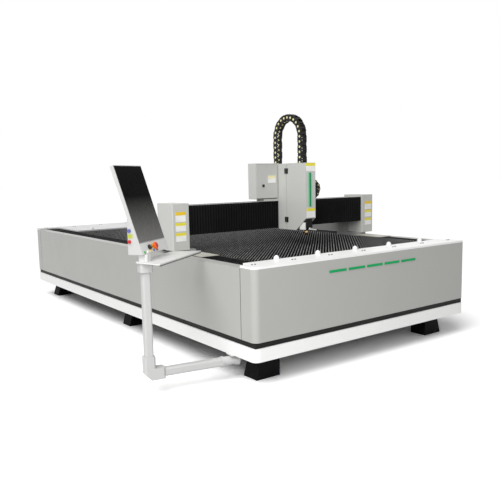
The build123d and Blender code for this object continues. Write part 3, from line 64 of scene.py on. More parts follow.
def bed_box(node):
    """A CAD node's lowest and highest corners in the bed's frame, in millimetres."""
    return [(Vector(corner) - at(0, 0, 0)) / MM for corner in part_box(node)]


# Boxes and faces of the CAD nodes that the dressing follows, in millimetres
SIDE_LOW, SIDE_HIGH = bed_box("side_panel_right")
BACK_LOW, BACK_HIGH = bed_box("back_cover")
SLATS_LOW, SLATS_HIGH = bed_box("slats")
BELLOWS_LOW, BELLOWS_HIGH = bed_box("beam_bellows")
AXIS_LOW, AXIS_HIGH = bed_box("z_cover")
HEAD_LOW, HEAD_HIGH = bed_box("laser_head")
ARCH_LOW, ARCH_HIGH = bed_box("arch_chain")
LOOP_LOW, LOOP_HIGH = bed_box("beam_chain")
COLUMN_LOW, COLUMN_HIGH = bed_box("console_column")
COVER_FRONT = bed_box("end_cover_left")[0].y
AXIS_DOOR_BACK = bed_box("z_door")[1].y
FLAP_BACK = bed_box("carriage_door")[1].y

# Slats: the solids' number, how many stand for each of their pitches, and the teeth
SOLID_SLATS, SLATS_PER_PITCH = 36, 3
SLAT_TEETH, SLAT_TOOTH, SLAT_THICK = 60, 26, 4
WORN_SHARE = 0.45

# Levels between which the screen fades from a grey painted reflection, strongest at the lower level, to
# black
SCREEN_REFLECTION_FULL, SCREEN_REFLECTION_END = 970, 1270

# Depths of the fine relief in the materials, in metres
FINE_RELIEF, MARK_RELIEF, WEAVE_RELIEF, SOOT_RELIEF = 0.0002, 0.0003, 0.0004, 0.0006


# Materials


class Nodes:
    """A small helper that adds and joins shader nodes of one material."""

    def __init__(self, name):
        self.material = bpy.data.materials.new(name)
        self.material.use_nodes = True
        self.tree = self.material.node_tree
        self.shader = self.tree.nodes["Principled BSDF"]
        self.coords = self.add("ShaderNodeTexCoord").outputs["Object"]

    def add(self, kind, **values):
        node = self.tree.nodes.new(kind)
        for key, value in values.items():
            setattr(node, key, value)
        return node

    def join(self, out, socket):
        self.tree.links.new(out, socket)

    def noise(self, scale, detail, stretch=None):
        node = self.add("ShaderNodeTexNoise")
        node.inputs["Scale"].default_value = scale
        node.inputs["Detail"].default_value = detail
        source = self.coords
        if stretch:
            mapping = self.add("ShaderNodeMapping")
            mapping.inputs["Scale"].default_value = stretch
            self.join(self.coords, mapping.inputs["Vector"])
            source = mapping.outputs["Vector"]
        self.join(source, node.inputs["Vector"])
        return node.outputs["Fac"]

    def spread(self, out, low=0.0, high=1.0, from_low=0.3, from_high=0.7):
        node = self.add("ShaderNodeMapRange")
        node.inputs["From Min"].default_value = from_low
        node.inputs["From Max"].default_value = from_high
        node.inputs["To Min"].default_value = low
        node.inputs["To Max"].default_value = high
        self.join(out, node.inputs["Value"])
        return node.outputs["Result"]

    def mix(self, factor, first, second):
        node = self.add("ShaderNodeMix", data_type="RGBA")
        self.join(factor, node.inputs["Factor"])
        # The colour sockets share their names with others, so they are found by number
        for value, socket in ((first, node.inputs[6]), (second, node.inputs[7])):
            if isinstance(value, bpy.types.NodeSocket):
                self.join(value, socket)
            else:
                socket.default_value = (*value, 1)
        return node.outputs[2]

    def height(self):
        node = self.add("ShaderNodeSeparateXYZ")
        self.join(self.coords, node.inputs["Vector"])
        return node.outputs["Z"]

    def bump(self, out, strength, distance, edge=0.0):
        node = self.add("ShaderNodeBump")
        node.inputs["Strength"].default_value = strength
        node.inputs["Distance"].default_value = distance
        self.join(out, node.inputs["Height"])
        if edge:
            soft = self.add("ShaderNodeBevel", samples=4)
            soft.inputs["Radius"].default_value = edge
            self.join(soft.outputs["Normal"], node.inputs["Normal"])
        self.join(node.outputs["Normal"], self.shader.inputs["Normal"])

    def color(self, out):
        self.join(out, self.shader.inputs["Base Color"])

    def rough(self, out):
        self.join(out, self.shader.inputs["Roughness"])

    def set(self, **values):
        for key, value in values.items():
            self.shader.inputs[key.replace("_", " ")].default_value = value


def tone(color, factor):
    """A colour made darker or paler by a factor."""
    return tuple(min(1.0, c * factor) for c in color)


def grey(value):
    """A neutral colour."""
    return (value, value, value)


def paint(name, color, rough=0.38, change=0.03, peel=0.03, edge=0.0015, **values):
    """Sprayed paint: slow colour change, a fine orange-peel skin and soft edges."""
    n = Nodes(name)
    clouds = n.spread(n.noise(scale=1.7, detail=3.0))
    n.color(n.mix(clouds, tone(color, 1 - change), tone(color, 1 + change)))
    n.rough(n.spread(n.noise(scale=6.0, detail=4.0), low=rough - 0.04, high=rough + 0.05))
    n.bump(n.noise(scale=240.0, detail=1.0), peel, FINE_RELIEF, edge)
    n.set(**values)
    return n.material


def moulded(name, color, rough=0.5, grain=900.0, depth=0.15, edge=0.0008, **values):
    """Moulded plastic with a fine spark texture."""
    n = Nodes(name)
    clouds = n.spread(n.noise(scale=14.0, detail=2.0))
    n.color(n.mix(clouds, tone(color, factor=0.93), tone(color, factor=1.06)))
    n.rough(n.spread(n.noise(scale=60.0, detail=3.0), low=rough - 0.06, high=rough + 0.06))
    n.bump(n.noise(grain, detail=1.0), depth, FINE_RELIEF, edge)
    n.set(**values)
    return n.material


def steel(name, color, rough=0.32, along=(1, 60, 60), change=0.12, **values):
    """Ground or rolled steel with marks drawn along one axis."""
    n = Nodes(name)
    lines = n.noise(scale=30.0, detail=4.0, stretch=along)
    patches = n.spread(n.noise(scale=9.0, detail=4.0))
    n.color(n.mix(patches, tone(color, 1 - change), tone(color, 1 + change)))
    n.rough(n.spread(lines, low=rough - 0.08, high=rough + 0.12))
    n.bump(lines, strength=0.1, distance=MARK_RELIEF, edge=0.0006)
    n.set(Metallic=1.0, **values)
    return n.material


def slat_metal(name):
    """Slat steel: dark below, partly soot and partly painted shade where the close slats shade each other,
    and bright where the teeth are worn.
    """
    n = Nodes(name)
    worn_from = SLATS_HIGH.z - WORN_SHARE * SLAT_TOOTH
    up = n.spread(n.height(), from_low=worn_from * MM, from_high=SLATS_HIGH.z * MM)
    soot = n.spread(n.noise(scale=22.0, detail=5.0, stretch=(1, 1, 0.4)))
    # The near-black lower colour is partly soot and partly painted shade between the slats.
    low = n.mix(soot, grey(0.002), grey(0.005))
    high = n.mix(soot, grey(0.22), (0.52, 0.52, 0.51))
    n.color(n.mix(up, low, high))
    n.rough(n.spread(soot, low=0.35, high=0.6))
    n.bump(n.noise(scale=160.0, detail=3.0), strength=0.2, distance=SOOT_RELIEF)
    n.set(Metallic=0.6, Specular_IOR_Level=0.2)
    return n.material


def cloth(name, color, rough=0.62, **values):
    """Coated bellows cloth with a fine weave."""
    n = Nodes(name)
    clouds = n.spread(n.noise(scale=5.0, detail=3.0))
    n.color(n.mix(clouds, tone(color, factor=0.7), tone(color, factor=1.4)))
    weave = n.add("ShaderNodeTexWave", bands_direction="Z")
    weave.inputs["Scale"].default_value = 260.0
    weave.inputs["Distortion"].default_value = 1.5
    n.join(n.coords, weave.inputs["Vector"])
    threads = weave.outputs["Fac"]
    n.rough(n.spread(threads, low=rough - 0.05, high=rough + 0.08, from_low=0.0, from_high=1.0))
    n.bump(threads, strength=0.12, distance=WEAVE_RELIEF)
    n.set(**values)
    return n.material


def glass_face(name):
    """The dark screen: black above, a little paler towards its lower edge as a painted reflection, with
    faint dust.
    """
    n = Nodes(name)
    reflection_rise = n.spread(n.height(), from_low=SCREEN_REFLECTION_FULL * MM, from_high=SCREEN_REFLECTION_END * MM)
    dust = n.spread(n.noise(scale=40.0, detail=4.0))
    # The grey lower colour is a painted reflection.
    low = n.mix(dust, (0.205, 0.203, 0.194), (0.215, 0.213, 0.204))
    high = n.mix(dust, grey(0.0035), grey(0.0045))
    n.color(n.mix(reflection_rise, low, high))
    n.rough(n.spread(dust, low=0.22, high=0.3))
    n.set(IOR=1.5, Specular_IOR_Level=0.01)
    return n.material


# Finishes by name
MAT = {
    "panel": paint("panel_grey", (0.405, 0.405, 0.385), rough=0.34, change=0.02),
    "white": paint("white_paint", (0.90, 0.90, 0.89), rough=0.36, change=0.015),
    "worn": paint("worn_white", (0.70, 0.70, 0.70), rough=0.42, change=0.05),
    "console": paint("console_white", (0.52, 0.52, 0.515), rough=0.36, change=0.015),
    # A paler copy of the console's white, as painted light: the tray and the control strip's face take it
    # so that they look as lit as the console's sides.
    "tray": paint("console_white_painted_light", (0.70, 0.70, 0.69), rough=0.36, change=0.015),
    "black": paint("black_paint", (0.011, 0.011, 0.010), rough=0.5, change=0.2, Specular_IOR_Level=0.14),
    "foot": paint("foot_black", (0.004, 0.004, 0.004), rough=0.55, change=0.2, Specular_IOR_Level=0.06),
    "cover": paint("cover_grey", (0.562, 0.567, 0.54), rough=0.38, change=0.02),
    "dark": paint("dark_grey", (0.16, 0.16, 0.16), rough=0.45, change=0.1),
    "leg": paint("leg_grey", (0.30, 0.30, 0.29), rough=0.45, change=0.06),
    "beige": paint("beige_plate", (0.46, 0.45, 0.39), rough=0.42, change=0.05),
    "green": moulded("green_strip", (0.0, 0.34, 0.10), rough=0.4, Specular_IOR_Level=0.2),
    "slat": slat_metal("slat_steel"),
    "rail": steel("rail_steel", (0.55, 0.55, 0.55), along=(60, 1, 60)),
    "bolt": steel("bolt_steel", (0.20, 0.20, 0.20), rough=0.4),
    "bellows": cloth("bellows_cloth", (0.007, 0.007, 0.0075), Specular_IOR_Level=0.12),
    "chain": moulded("chain_black", (0.010, 0.010, 0.009), rough=0.45, Specular_IOR_Level=0.25),
    "pivot": moulded("chain_pivot", (0.80, 0.74, 0.40), rough=0.4),
    "head": paint("head_black", (0.008, 0.007, 0.007), rough=0.4, change=0.2, Specular_IOR_Level=0.15),
    "silver": steel("head_silver", (0.74, 0.74, 0.74), rough=0.26),
    "brass": steel("nozzle_brass", (0.72, 0.47, 0.20), rough=0.25),
    "plastic": moulded("black_plastic", (0.012, 0.012, 0.012), rough=0.42),
    "screen": glass_face("screen_face"),
    "red": moulded("red_plastic", (0.50, 0.018, 0.016), rough=0.3),
    "orange": moulded("stop_orange", (0.80, 0.10, 0.01), rough=0.3),
    "blue": moulded("blue_plastic", (0.10, 0.11, 0.38), rough=0.3),
    "lime": moulded("green_plastic", (0.04, 0.36, 0.06), rough=0.3),
    "yellow": moulded("yellow_plastic", (0.85, 0.58, 0.02), rough=0.4),
    "pale": moulded("plate_white", (0.90, 0.90, 0.88), rough=0.4),
    "cream": moulded("plate_cream", (0.90, 0.84, 0.52), rough=0.4),
    "stud": moulded("stud_white", (0.80, 0.80, 0.80), rough=0.3),
    # Black for the panel seams and the wipers, and painted shadow for the strip under the rear box's flap.
    "seal_and_shade": moulded("seal_black_and_shade", (0.02, 0.02, 0.02), rough=0.6),
    "amber": moulded("plate_amber", (0.88, 0.60, 0.02), rough=0.4),
    "lemon": moulded("plate_lemon", (0.84, 0.74, 0.05), rough=0.4),
    "leaf": moulded("stripe_green", (0.015, 0.26, 0.09), rough=0.4, Specular_IOR_Level=0.2),
    "mint": moulded("stripe_mint", (0.26, 0.62, 0.37), rough=0.4, Specular_IOR_Level=0.2),
    "zest": moulded("plate_zest", (0.42, 0.46, 0.06), rough=0.4),
}

# The finish of each CAD node
NODE_LOOK = {
    "panel": "side_panel_left side_panel_right front_panel back_panel top_rims",
    "white": "base_frame front_flange",
    "worn": "back_cover",
    "console": "arm_bracket console_arm console_elbow console_column console_box monitor_case",
    # The tray takes the paler copy of the console's white, which is painted light.
    "tray": "console_tray",
    "black": "main_frame drive_motors",
    "foot": "feet",
    "cover": "end_cover_left end_cover_right chain_bracket carriage_box carriage_door z_cover z_door",
    "dark": "gantry_beam carriage_plate head_slide",
    "leg": "saddles",
    "beige": "rail_covers",
    "green": "light_strips",
    "slat": "slats slat_combs scrap_tray",
    "rail": "y_rails y_racks beam_rails pinion_left pinion_right",
    "bolt": "flange_bolts",
    "bellows": "beam_bellows trough_bellows_front trough_bellows_rear",
    "chain": "beam_chain arch_chain",
    "head": "laser_head",
    "brass": "nozzle",
    "plastic": "door_lock door_hinges control_knob",
    "screen": "screen_glass",
    "red": "side_button_red panel_button_5",
    "orange": "estop_button",
    "blue": "side_button_blue panel_button_4",
    "lime": "panel_button_1",
    "pale": "panel_button_2",
    "yellow": "panel_button_3",
    "stud": "glide_studs",
}
for look, names in NODE_LOOK.items():
    for name in names.split():
        for slot in NODES[name].material_slots:
            slot.material = MAT[look]


# Mesh helpers
SAME_LEVEL = 1e-6


def piece(name, bm, finishes, body):
    """A new object of a mesh builder, with its finishes in the order of its faces' material numbers.

    It rides on a body if one is given.
    """
    bmesh.ops.recalc_face_normals(bm, faces=bm.faces)
    mesh = bpy.data.meshes.new(name)
    bm.to_mesh(mesh)
    bm.free()
    for finish in finishes:
        mesh.materials.append(MAT[finish])
    obj = bpy.data.objects.new(name, mesh)
    bpy.context.scene.collection.objects.link(obj)
    if body:
        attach(obj, body)
    return obj


def add_block(bm, low, high, soft, place, material=0):
    """A box between two corners, in millimetres, with its edges rounded by soft."""
    verts = bmesh.ops.create_cube(bm, size=1.0)["verts"]
    size = [(b - a) * MM for a, b in zip(low, high)]
    middle = [(a + b) / 2 * MM for a, b in zip(low, high)]
    for v in verts:
        v.co = Vector(v.co[i] * size[i] + middle[i] for i in range(3))
    faces = {f for v in verts for f in v.link_faces}
    if soft:
        edges = {e for v in verts for e in v.link_edges}
        made = bmesh.ops.bevel(
            bm, geom=list(edges), offset=soft * MM, segments=2, affect="EDGES", profile=0.7
        )
        faces = set(made["faces"]) | {f for f in faces if f.is_valid}
        verts = list({v for f in faces for v in f.verts})
    for f in faces:
        f.material_index = material
    bmesh.ops.transform(bm, matrix=place, verts=verts)


def add_disc(bm, radius, low, high, soft, place, material, sides):
    """A round block along local Z, in millimetres, with its upper rim rounded by soft."""
    verts = bmesh.ops.create_cone(
        bm,
        cap_ends=True,
        segments=sides,
        radius1=radius * MM,
        radius2=radius * MM,
        depth=(high - low) * MM,
        matrix=Matrix.Translation((0, 0, (low + high) / 2 * MM)),
    )["verts"]
    faces = {f for v in verts for f in v.link_faces}
    if soft:
        top = max(v.co.z for v in verts)
        rim = {v for v in verts if abs(v.co.z - top) < SAME_LEVEL}
        edges = {e for v in verts for e in v.link_edges if rim.issuperset(e.verts)}
        made = bmesh.ops.bevel(
            bm, geom=list(edges), offset=soft * MM, segments=3, affect="EDGES", profile=0.5
        )
        faces = set(made["faces"]) | {f for f in faces if f.is_valid}
        verts = list({v for f in faces for v in f.verts})
    for f in faces:
        f.material_index = material
        f.smooth = len(f.verts) == 4
    bmesh.ops.transform(bm, matrix=place, verts=verts)


def add_sheet(bm, outline, low, high, axis, place):
    """A prism of an outline, in millimetres, carried from low to high along an axis."""
    order = {"X": (2, 0, 1), "Y": (0, 2, 1), "Z": (0, 1, 2)}[axis]
    ends = []
    for level in (low, high):
        points = [(u, v, level) for u, v in outline]
        ends.append([bm.verts.new([point[i] * MM for i in order]) for point in points])
    bm.faces.new(ends[0][::-1])
    bm.faces.new(ends[1])
    count = len(outline)
    for i in range(count):
        j = (i + 1) % count
        bm.faces.new((ends[0][i], ends[0][j], ends[1][j], ends[1][i]))
    bmesh.ops.transform(bm, matrix=place, verts=ends[0] + ends[1])


def round_ring(radius, x=0, y=0, sides=32):
    """The points of a circle, in millimetres."""
    turns = [math.tau * i / sides for i in range(sides)]
    return [(x + radius * math.cos(a), y + radius * math.sin(a)) for a in turns]


def square_ring(half, x, y):
    """The corners of a square, in millimetres."""
    return [(x - half, y - half), (x + half, y - half), (x + half, y + half), (x - half, y + half)]


def add_pierced(bm, outline, holes, low, high, place):
    """A plate between two levels, in millimetres, with an outline and holes that are rings of points."""
    edges = []
    for ring in [outline] + holes:
        verts = [bm.verts.new((x * MM, y * MM, low * MM)) for x, y in ring]
        edges += [bm.edges.new(pair) for pair in zip(verts, verts[1:] + verts[:1])]
    filled = bmesh.ops.triangle_fill(bm, use_beauty=True, edges=edges)
    faces = [part for part in filled["geom"] if isinstance(part, bmesh.types.BMFace)]
    grown = bmesh.ops.extrude_face_region(bm, geom=faces)
    upper = [part for part in grown["geom"] if isinstance(part, bmesh.types.BMVert)]
    bmesh.ops.translate(bm, vec=(0, 0, (high - low) * MM), verts=upper)
    bmesh.ops.transform(bm, matrix=place, verts=bm.verts[:])


def bed_place(x=0, y=0, z=0):
    """A place in the bed's frame."""
    return Matrix.Translation(at(x, y, z))


# Camera, at the photograph's viewpoint, in the bed's frame
CAMERA_AT = (-3378.65, -5224.68, 1383.68)
CAMERA_YAW, CAMERA_PITCH, CAMERA_ROLL = (math.radians(a) for a in (36.384, 6.987, -1.1237))
CAMERA_LENS, SENSOR_WIDTH = 43.47, 36
CAMERA_FAR = 200


def make_camera():
    """The camera, turned, tipped down and rolled a little, as the photograph's was."""
    forward = Vector(
        (
            math.sin(CAMERA_YAW) * math.cos(CAMERA_PITCH),
            math.cos(CAMERA_YAW) * math.cos(CAMERA_PITCH),
            -math.sin(CAMERA_PITCH),
        )
    )
    level = Vector((math.cos(CAMERA_YAW), -math.sin(CAMERA_YAW), 0))
    up = level.cross(forward)
    right = math.cos(CAMERA_ROLL) * level + math.sin(CAMERA_ROLL) * up
    top = -math.sin(CAMERA_ROLL) * level + math.cos(CAMERA_ROLL) * up
    data = bpy.data.cameras.new("camera")
    data.lens = CAMERA_LENS
    data.sensor_width = SENSOR_WIDTH
    data.clip_end = CAMERA_FAR
    obj = bpy.data.objects.new("camera", data)
    bpy.context.scene.collection.objects.link(obj)
    turn = Matrix((right, top, -forward)).transposed().to_4x4()
    obj.matrix_world = Matrix.Translation(at(*CAMERA_AT)) @ turn
    bpy.context.scene.camera = obj


# Slats


def slat_outline():
    """One slat seen along the bed, with its teeth upward."""
    half = SLATS_HIGH.x
    step = half / SLAT_TEETH
    outline = [(-half, SLATS_LOW.z), (half, SLATS_LOW.z)]
    for i in range(2 * SLAT_TEETH + 1):
        outline.append((half - i * step, SLATS_HIGH.z if i % 2 else SLATS_HIGH.z - SLAT_TOOTH))
    return outline


def make_slats():
    """Slats in the solids' places and two more between each pair, as close as the photo shows."""
    gaps = SLATS_PER_PITCH * (SOLID_SLATS - 1)
    step = (SLATS_HIGH.y - SLATS_LOW.y - SLAT_THICK) / gaps
    outline = slat_outline()
    bm = bmesh.new()
    for i in range(gaps + 1):
        y = SLATS_LOW.y + i * step
        add_sheet(bm, outline, y, y + SLAT_THICK, "Y", bed_place())
    obj = piece("slat_field", bm, ("slat",), "bed")
    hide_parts("slats")


# Folded covers
CLOTH_THICK, FOLD_GAP = 2, 0.3
CREST_SHARE = 0.18
BEAM_FOLDS = 36
TROUGH_FOLDS = {"front": 110, "rear": 90}
TROUGH_INNER = 897


def fold_outline(start, end, low, high, folds):
    """A zigzag cloth with flattened crests between two levels: points along and across."""
    step = (end - start) / (2 * folds)
    flat = step * CREST_SHARE
    edge = []
    for i in range(2 * folds + 1):
        along = start + i * step
        across = high - CLOTH_THICK if i % 2 else low
        if 0 < i < 2 * folds:
            edge += [(along - flat, across), (along + flat, across)]
        else:
            edge.append((along, across))
    return edge + [(a, b + CLOTH_THICK) for a, b in reversed(edge)]


def make_beam_bellows():
    """The covers in front of the beam, on both sides of the cutting axis."""
    spans = (
        ("bellows_left", BELLOWS_LOW.x, AXIS_LOW.x - FOLD_GAP),
        ("bellows_right", BELLOWS_HIGH.x, AXIS_HIGH.x + FOLD_GAP),
    )
    for name, fixed, moving in spans:
        low, high = sorted((fixed, moving))
        outline = fold_outline(low, high, BELLOWS_LOW.y, BELLOWS_HIGH.y, BEAM_FOLDS)
        bm = bmesh.new()
        add_sheet(bm, outline, BELLOWS_LOW.z, BELLOWS_HIGH.z, "Z", bed_place())
        obj = piece(name, bm, ("bellows",), None)
        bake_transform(obj)
        if name == "bellows_left":
            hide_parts("beam_bellows")


def make_trough_bellows():
    """The covers over the rails, on both sides of the bed, at its front and its rear."""
    for end_name, folds in TROUGH_FOLDS.items():
        node = f"trough_bellows_{end_name}"
        low, high = bed_box(node)
        outline = fold_outline(low.y, high.y, low.z, high.z, folds)
        for side, side_name in ((-1, "left"), (1, "right")):
            edges = sorted((side * TROUGH_INNER, side * high.x))
            bm = bmesh.new()
            add_sheet(bm, outline, *edges, "X", bed_place())
            name = f"trough_{end_name}_{side_name}"
            obj = piece(name, bm, ("bellows",), None)
            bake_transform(obj)
            if side < 0:
                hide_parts(node)


# Cable chains: link sizes as lengths and as shares of a link's height, length or half width
LINK_STEP, LINK_WALL, LINK_INSET = 42.6, 3.4, 4
LINK_REACH_SHARE, LINK_WAIST_SHARE, LINK_ROUND_SHARE = 0.455, 0.40, 0.62
LINK_ARC_STEPS = 6
BAR_THICK, BAR_GAP = 4, 1
BAR_LEVEL_SHARE, BAR_START_SHARE, BAR_END_SHARE = 0.47, 0.34, 0.66
PIN_SHARE, PIN_SUNK, PIN_PROUD, PIN_SIDES = 0.16, 1, 0.6, 14
LATCH_SHARE, LATCH_SUNK, LATCH_PROUD, LATCH_SIDES = 0.12, 1, 0.8, 12
LATCH_PLACE_SHARE = 0.5

# The arch stands on the carriage, and the loop lies on the beam
ARCH_FOOT, ARCH_CENTRE, ARCH_LENGTH, ARCH_HEIGHT = 1496.25, 1710, 1022, 60
LOOP_X, LOOP_END, LOOP_LENGTH, LOOP_HEIGHT = 465, 64.25, 1168, 40
BEND_FOLLOW_SHARE = 0.5
CHAIN_FINISHES = ("chain", "pivot")
PIVOT_NUMBER = CHAIN_FINISHES.index("pivot")


def chain_points(first_run, radius, total):
    """Pivots along a run in local X, a half turn to local +Y, and a run back."""
    turn = math.pi * radius
    count = round(total / LINK_STEP)
    points = []
    for i in range(count + 1):
        s = i * total / count
        if s <= first_run:
            points.append((s, 0))
        elif s <= first_run + turn:
            angle = (s - first_run) / radius
            points.append((first_run + radius * math.sin(angle), radius * (1 - math.cos(angle))))
        else:
            points.append((first_run - (s - first_run - turn), 2 * radius))
    return points


def link_outline(length, height):
    """A side plate with round ends about its two pivots and a slight waist."""
    reach, waist = height * LINK_REACH_SHARE, height * LINK_WAIST_SHARE
    outline = []
    for centre, first_turn, side in ((length, -0.5, 1), (0, 0.5, -1)):
        for k in range(LINK_ARC_STEPS + 1):
            angle = math.pi * (first_turn + k / LINK_ARC_STEPS)
            along = centre + reach * LINK_ROUND_SHARE * math.cos(angle)
            outline.append((along, reach * math.sin(angle)))
        outline.append((length / 2, side * waist))
    return outline


def add_link(bm, place, length, width, height, inset):
    """One link: two side plates, two cross bars, pivots at its first end and a pale latch."""
    outline = link_outline(length, height)
    half = width / 2 - inset
    bar_level = height * BAR_LEVEL_SHARE
    for side in (-1, 1):
        edges = sorted((side * half, side * (half - LINK_WALL)))
        add_sheet(bm, outline, *edges, "Z", place)
        pin = Matrix.Translation((0, 0, side * width / 2 * MM))
        if side < 0:
            pin = pin @ Matrix.Rotation(math.pi, 4, "X")
        bottom = -inset - PIN_SUNK
        add_disc(bm, height * PIN_SHARE, bottom, PIN_PROUD, 0, place @ pin, PIVOT_NUMBER, PIN_SIDES)
        bottom, top = sorted((side * (bar_level - BAR_THICK), side * bar_level))
        low = (length * BAR_START_SHARE, bottom, -half + BAR_GAP)
        high = (length * BAR_END_SHARE, top, half - BAR_GAP)
        add_block(bm, low, high, 0, place)
    latch = Matrix.Translation(Vector((length / 2, bar_level, -half * LATCH_PLACE_SHARE)) * MM)
    latch = latch @ Matrix.Rotation(-math.pi / 2, 4, "X")
    radius = height * LATCH_SHARE
    add_disc(bm, radius, -LATCH_SUNK, LATCH_PROUD, 0, place @ latch, PIVOT_NUMBER, LATCH_SIDES)


def chain_links(points, width, height, plane, chosen=None):
    """The links of a chain as one mesh builder, or those whose number is chosen."""
    bm = bmesh.new()
    for i, (start, end) in enumerate(zip(points, points[1:])):
        if chosen and i not in chosen:
            continue
        turn = math.atan2(end[1] - start[1], end[0] - start[0])
        length = math.dist(start, end)
        move = Matrix.Translation((start[0] * MM, start[1] * MM, 0)) @ Matrix.Rotation(turn, 4, "Z")
        add_link(bm, plane @ move, length, width, height, 0 if i % 2 else LINK_INSET)
    return bm


def chain_plane(origin, along, across):
    """The chain's own plane: local X and Y in the bed's frame."""
    x, y = Vector(along), Vector(across)
    turn = Matrix((x, y, x.cross(y))).transposed().to_4x4()
    return bed_place(*origin) @ turn


def blend_chain(name, bm, axis, start, end):
    """A chain piece on no body, baked in place; the end points it works out from axis, start and end are
    not used.
    """
    obj = piece(name, bm, CHAIN_FINISHES, None)
    ends = [at(0, 0, 0), at(0, 0, 0)]
    for point, value in zip(ends, (start, end)):
        point[axis] = at(value, value, value)[axis]
    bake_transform(obj)
    return obj


def make_arch_chain():
    """The arch over the carriage, from the carriage to the head's slide."""
    radius = (ARCH_HIGH.y - ARCH_LOW.y - ARCH_HEIGHT) / 2
    back = ARCH_HIGH.y - ARCH_HEIGHT / 2
    plane = chain_plane(((ARCH_LOW.x + ARCH_HIGH.x) / 2, back, ARCH_FOOT), (0, 0, 1), (0, -1, 0))
    points = chain_points(ARCH_CENTRE - ARCH_FOOT, radius, ARCH_LENGTH)
    bm = chain_links(points, ARCH_HIGH.x - ARCH_LOW.x, ARCH_HEIGHT, plane)
    obj = blend_chain("arch_links", bm, 1, back, back - 2 * radius)
    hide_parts("arch_chain")


def loop_part(start, end):
    """Whether a link of the loop lies in its lower run, its bend or its upper run."""
    if start[1] != end[1]:
        return "bend"
    return "low" if start[1] == 0 else "high"


def make_beam_chain():
    """The loop on the beam, in three pieces: its lower run, its bend and its upper run."""
    radius = (LOOP_HIGH.z - LOOP_LOW.z - LOOP_HEIGHT) / 2
    run = LOOP_LENGTH - math.pi * radius - (LOOP_X - LOOP_END)
    origin = (LOOP_X - run, (LOOP_LOW.y + LOOP_HIGH.y) / 2, LOOP_LOW.z + LOOP_HEIGHT / 2)
    plane = chain_plane(origin, (1, 0, 0), (0, 0, 1))
    points = chain_points(run, radius, LOOP_LENGTH)
    parts = [loop_part(*ends) for ends in zip(points, points[1:])]
    spans = {
        "low": (LOOP_X - run, LOOP_X + run, None),
        "bend": (LOOP_X - run, LOOP_X + run, BEND_FOLLOW_SHARE),
        "high": (2 * LOOP_X - LOOP_END, LOOP_END, None),
    }
    for part, (start, end, follow_share) in spans.items():
        chosen = [i for i, name in enumerate(parts) if name == part]
        bm = chain_links(points, LOOP_HIGH.y - LOOP_LOW.y, LOOP_HEIGHT, plane, chosen)
        name = f"beam_links_{part}"
        obj = blend_chain(name, bm, 0, start, end)
        if part == "low":
            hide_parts("beam_chain")


# Bare plates and stripes of the gantry, in the places of the labels, with no words or signs
PLATE_PROUD, PLATE_SUNK = 0.8, 0.2
COVER_PLATE_EDGES = {"left": (-1092, -1001), "right": (1006, 1097)}
COVER_PLATE_ROWS = (((1042, 1119), "amber"), ((969, 1035), "lemon"), ((891, 957), "lemon"))
COVER_BAND_SHARE = 0.34
AXIS_UPPER_EDGES, AXIS_UPPER_LEVELS, AXIS_UPPER_SHARE = (-56, 43), (1414, 1480), 0.36
AXIS_LOWER_EDGES, AXIS_LOWER_LEVELS, AXIS_LOWER_SHARE = (-54, 40), (1033, 1110), 0.32
STRIPE_LEVELS = (1123, 1402)
STRIPE_MINT_EDGES, STRIPE_LEAF_EDGES = (-34, 8), (-21, -3)
STRIPE_PROUD, STRIPE_SUNK = 1.4, -0.6
BOX_PLATE_EDGES, BOX_PLATE_LEVELS, BOX_BAND_SHARE = (-176, -90), (1322, 1384), 0.4
FLAP_THICK = 4
FLAP_FRONT = FLAP_BACK - FLAP_THICK


def add_plate(bm, edges, levels, front, material, proud=PLATE_PROUD, sunk=PLATE_SUNK):
    """A thin plate on a front face, between two edges and two levels."""
    (left, right), (bottom, top) = edges, levels
    add_block(bm, (left, front - proud, bottom), (right, front + sunk, top), 0, bed_place(), material)


def add_label(bm, finishes, edges, levels, front, band, band_share):
    """A bare label: a coloured band that takes a share of its height, over a pale field."""
    bottom, top = levels
    middle = top - (top - bottom) * band_share
    add_plate(bm, edges, (middle, top), front, finishes.index(band))
    add_plate(bm, edges, (bottom, middle), front, finishes.index("pale"))


def make_cover_plates():
    """Three bare labels on the front of each end cover."""
    finishes = ("amber", "pale", "lemon")
    for side_name, edges in COVER_PLATE_EDGES.items():
        bm = bmesh.new()
        for levels, band in COVER_PLATE_ROWS:
            add_label(bm, finishes, edges, levels, COVER_FRONT, band, COVER_BAND_SHARE)
        piece(f"cover_plates_{side_name}", bm, finishes, "gantry")


def make_axis_plates():
    """Bare labels at the top and the foot of the cutting axis's door."""
    finishes = ("lemon", "pale")
    bm = bmesh.new()
    add_label(bm, finishes, AXIS_UPPER_EDGES, AXIS_UPPER_LEVELS, AXIS_LOW.y, "lemon", AXIS_UPPER_SHARE)
    add_label(bm, finishes, AXIS_LOWER_EDGES, AXIS_LOWER_LEVELS, AXIS_LOW.y, "lemon", AXIS_LOWER_SHARE)
    piece("axis_plates", bm, finishes, "axis_door")


def make_axis_stripe():
    """The green stripe on the door, with a paler band on both sides."""
    finishes = ("leaf", "mint")
    leaf, mint = range(len(finishes))
    bm = bmesh.new()
    add_plate(bm, STRIPE_MINT_EDGES, STRIPE_LEVELS, AXIS_LOW.y, mint)
    add_plate(bm, STRIPE_LEAF_EDGES, STRIPE_LEVELS, AXIS_LOW.y, leaf, STRIPE_PROUD, STRIPE_SUNK)
    piece("axis_stripe", bm, finishes, "axis_door")


def make_box_plate():
    """The bare label on the rear box's flap."""
    finishes = ("cream", "pale")
    bm = bmesh.new()
    add_label(bm, finishes, BOX_PLATE_EDGES, BOX_PLATE_LEVELS, FLAP_FRONT, "cream", BOX_BAND_SHARE)
    piece("box_plate", bm, finishes, "rear_flap")


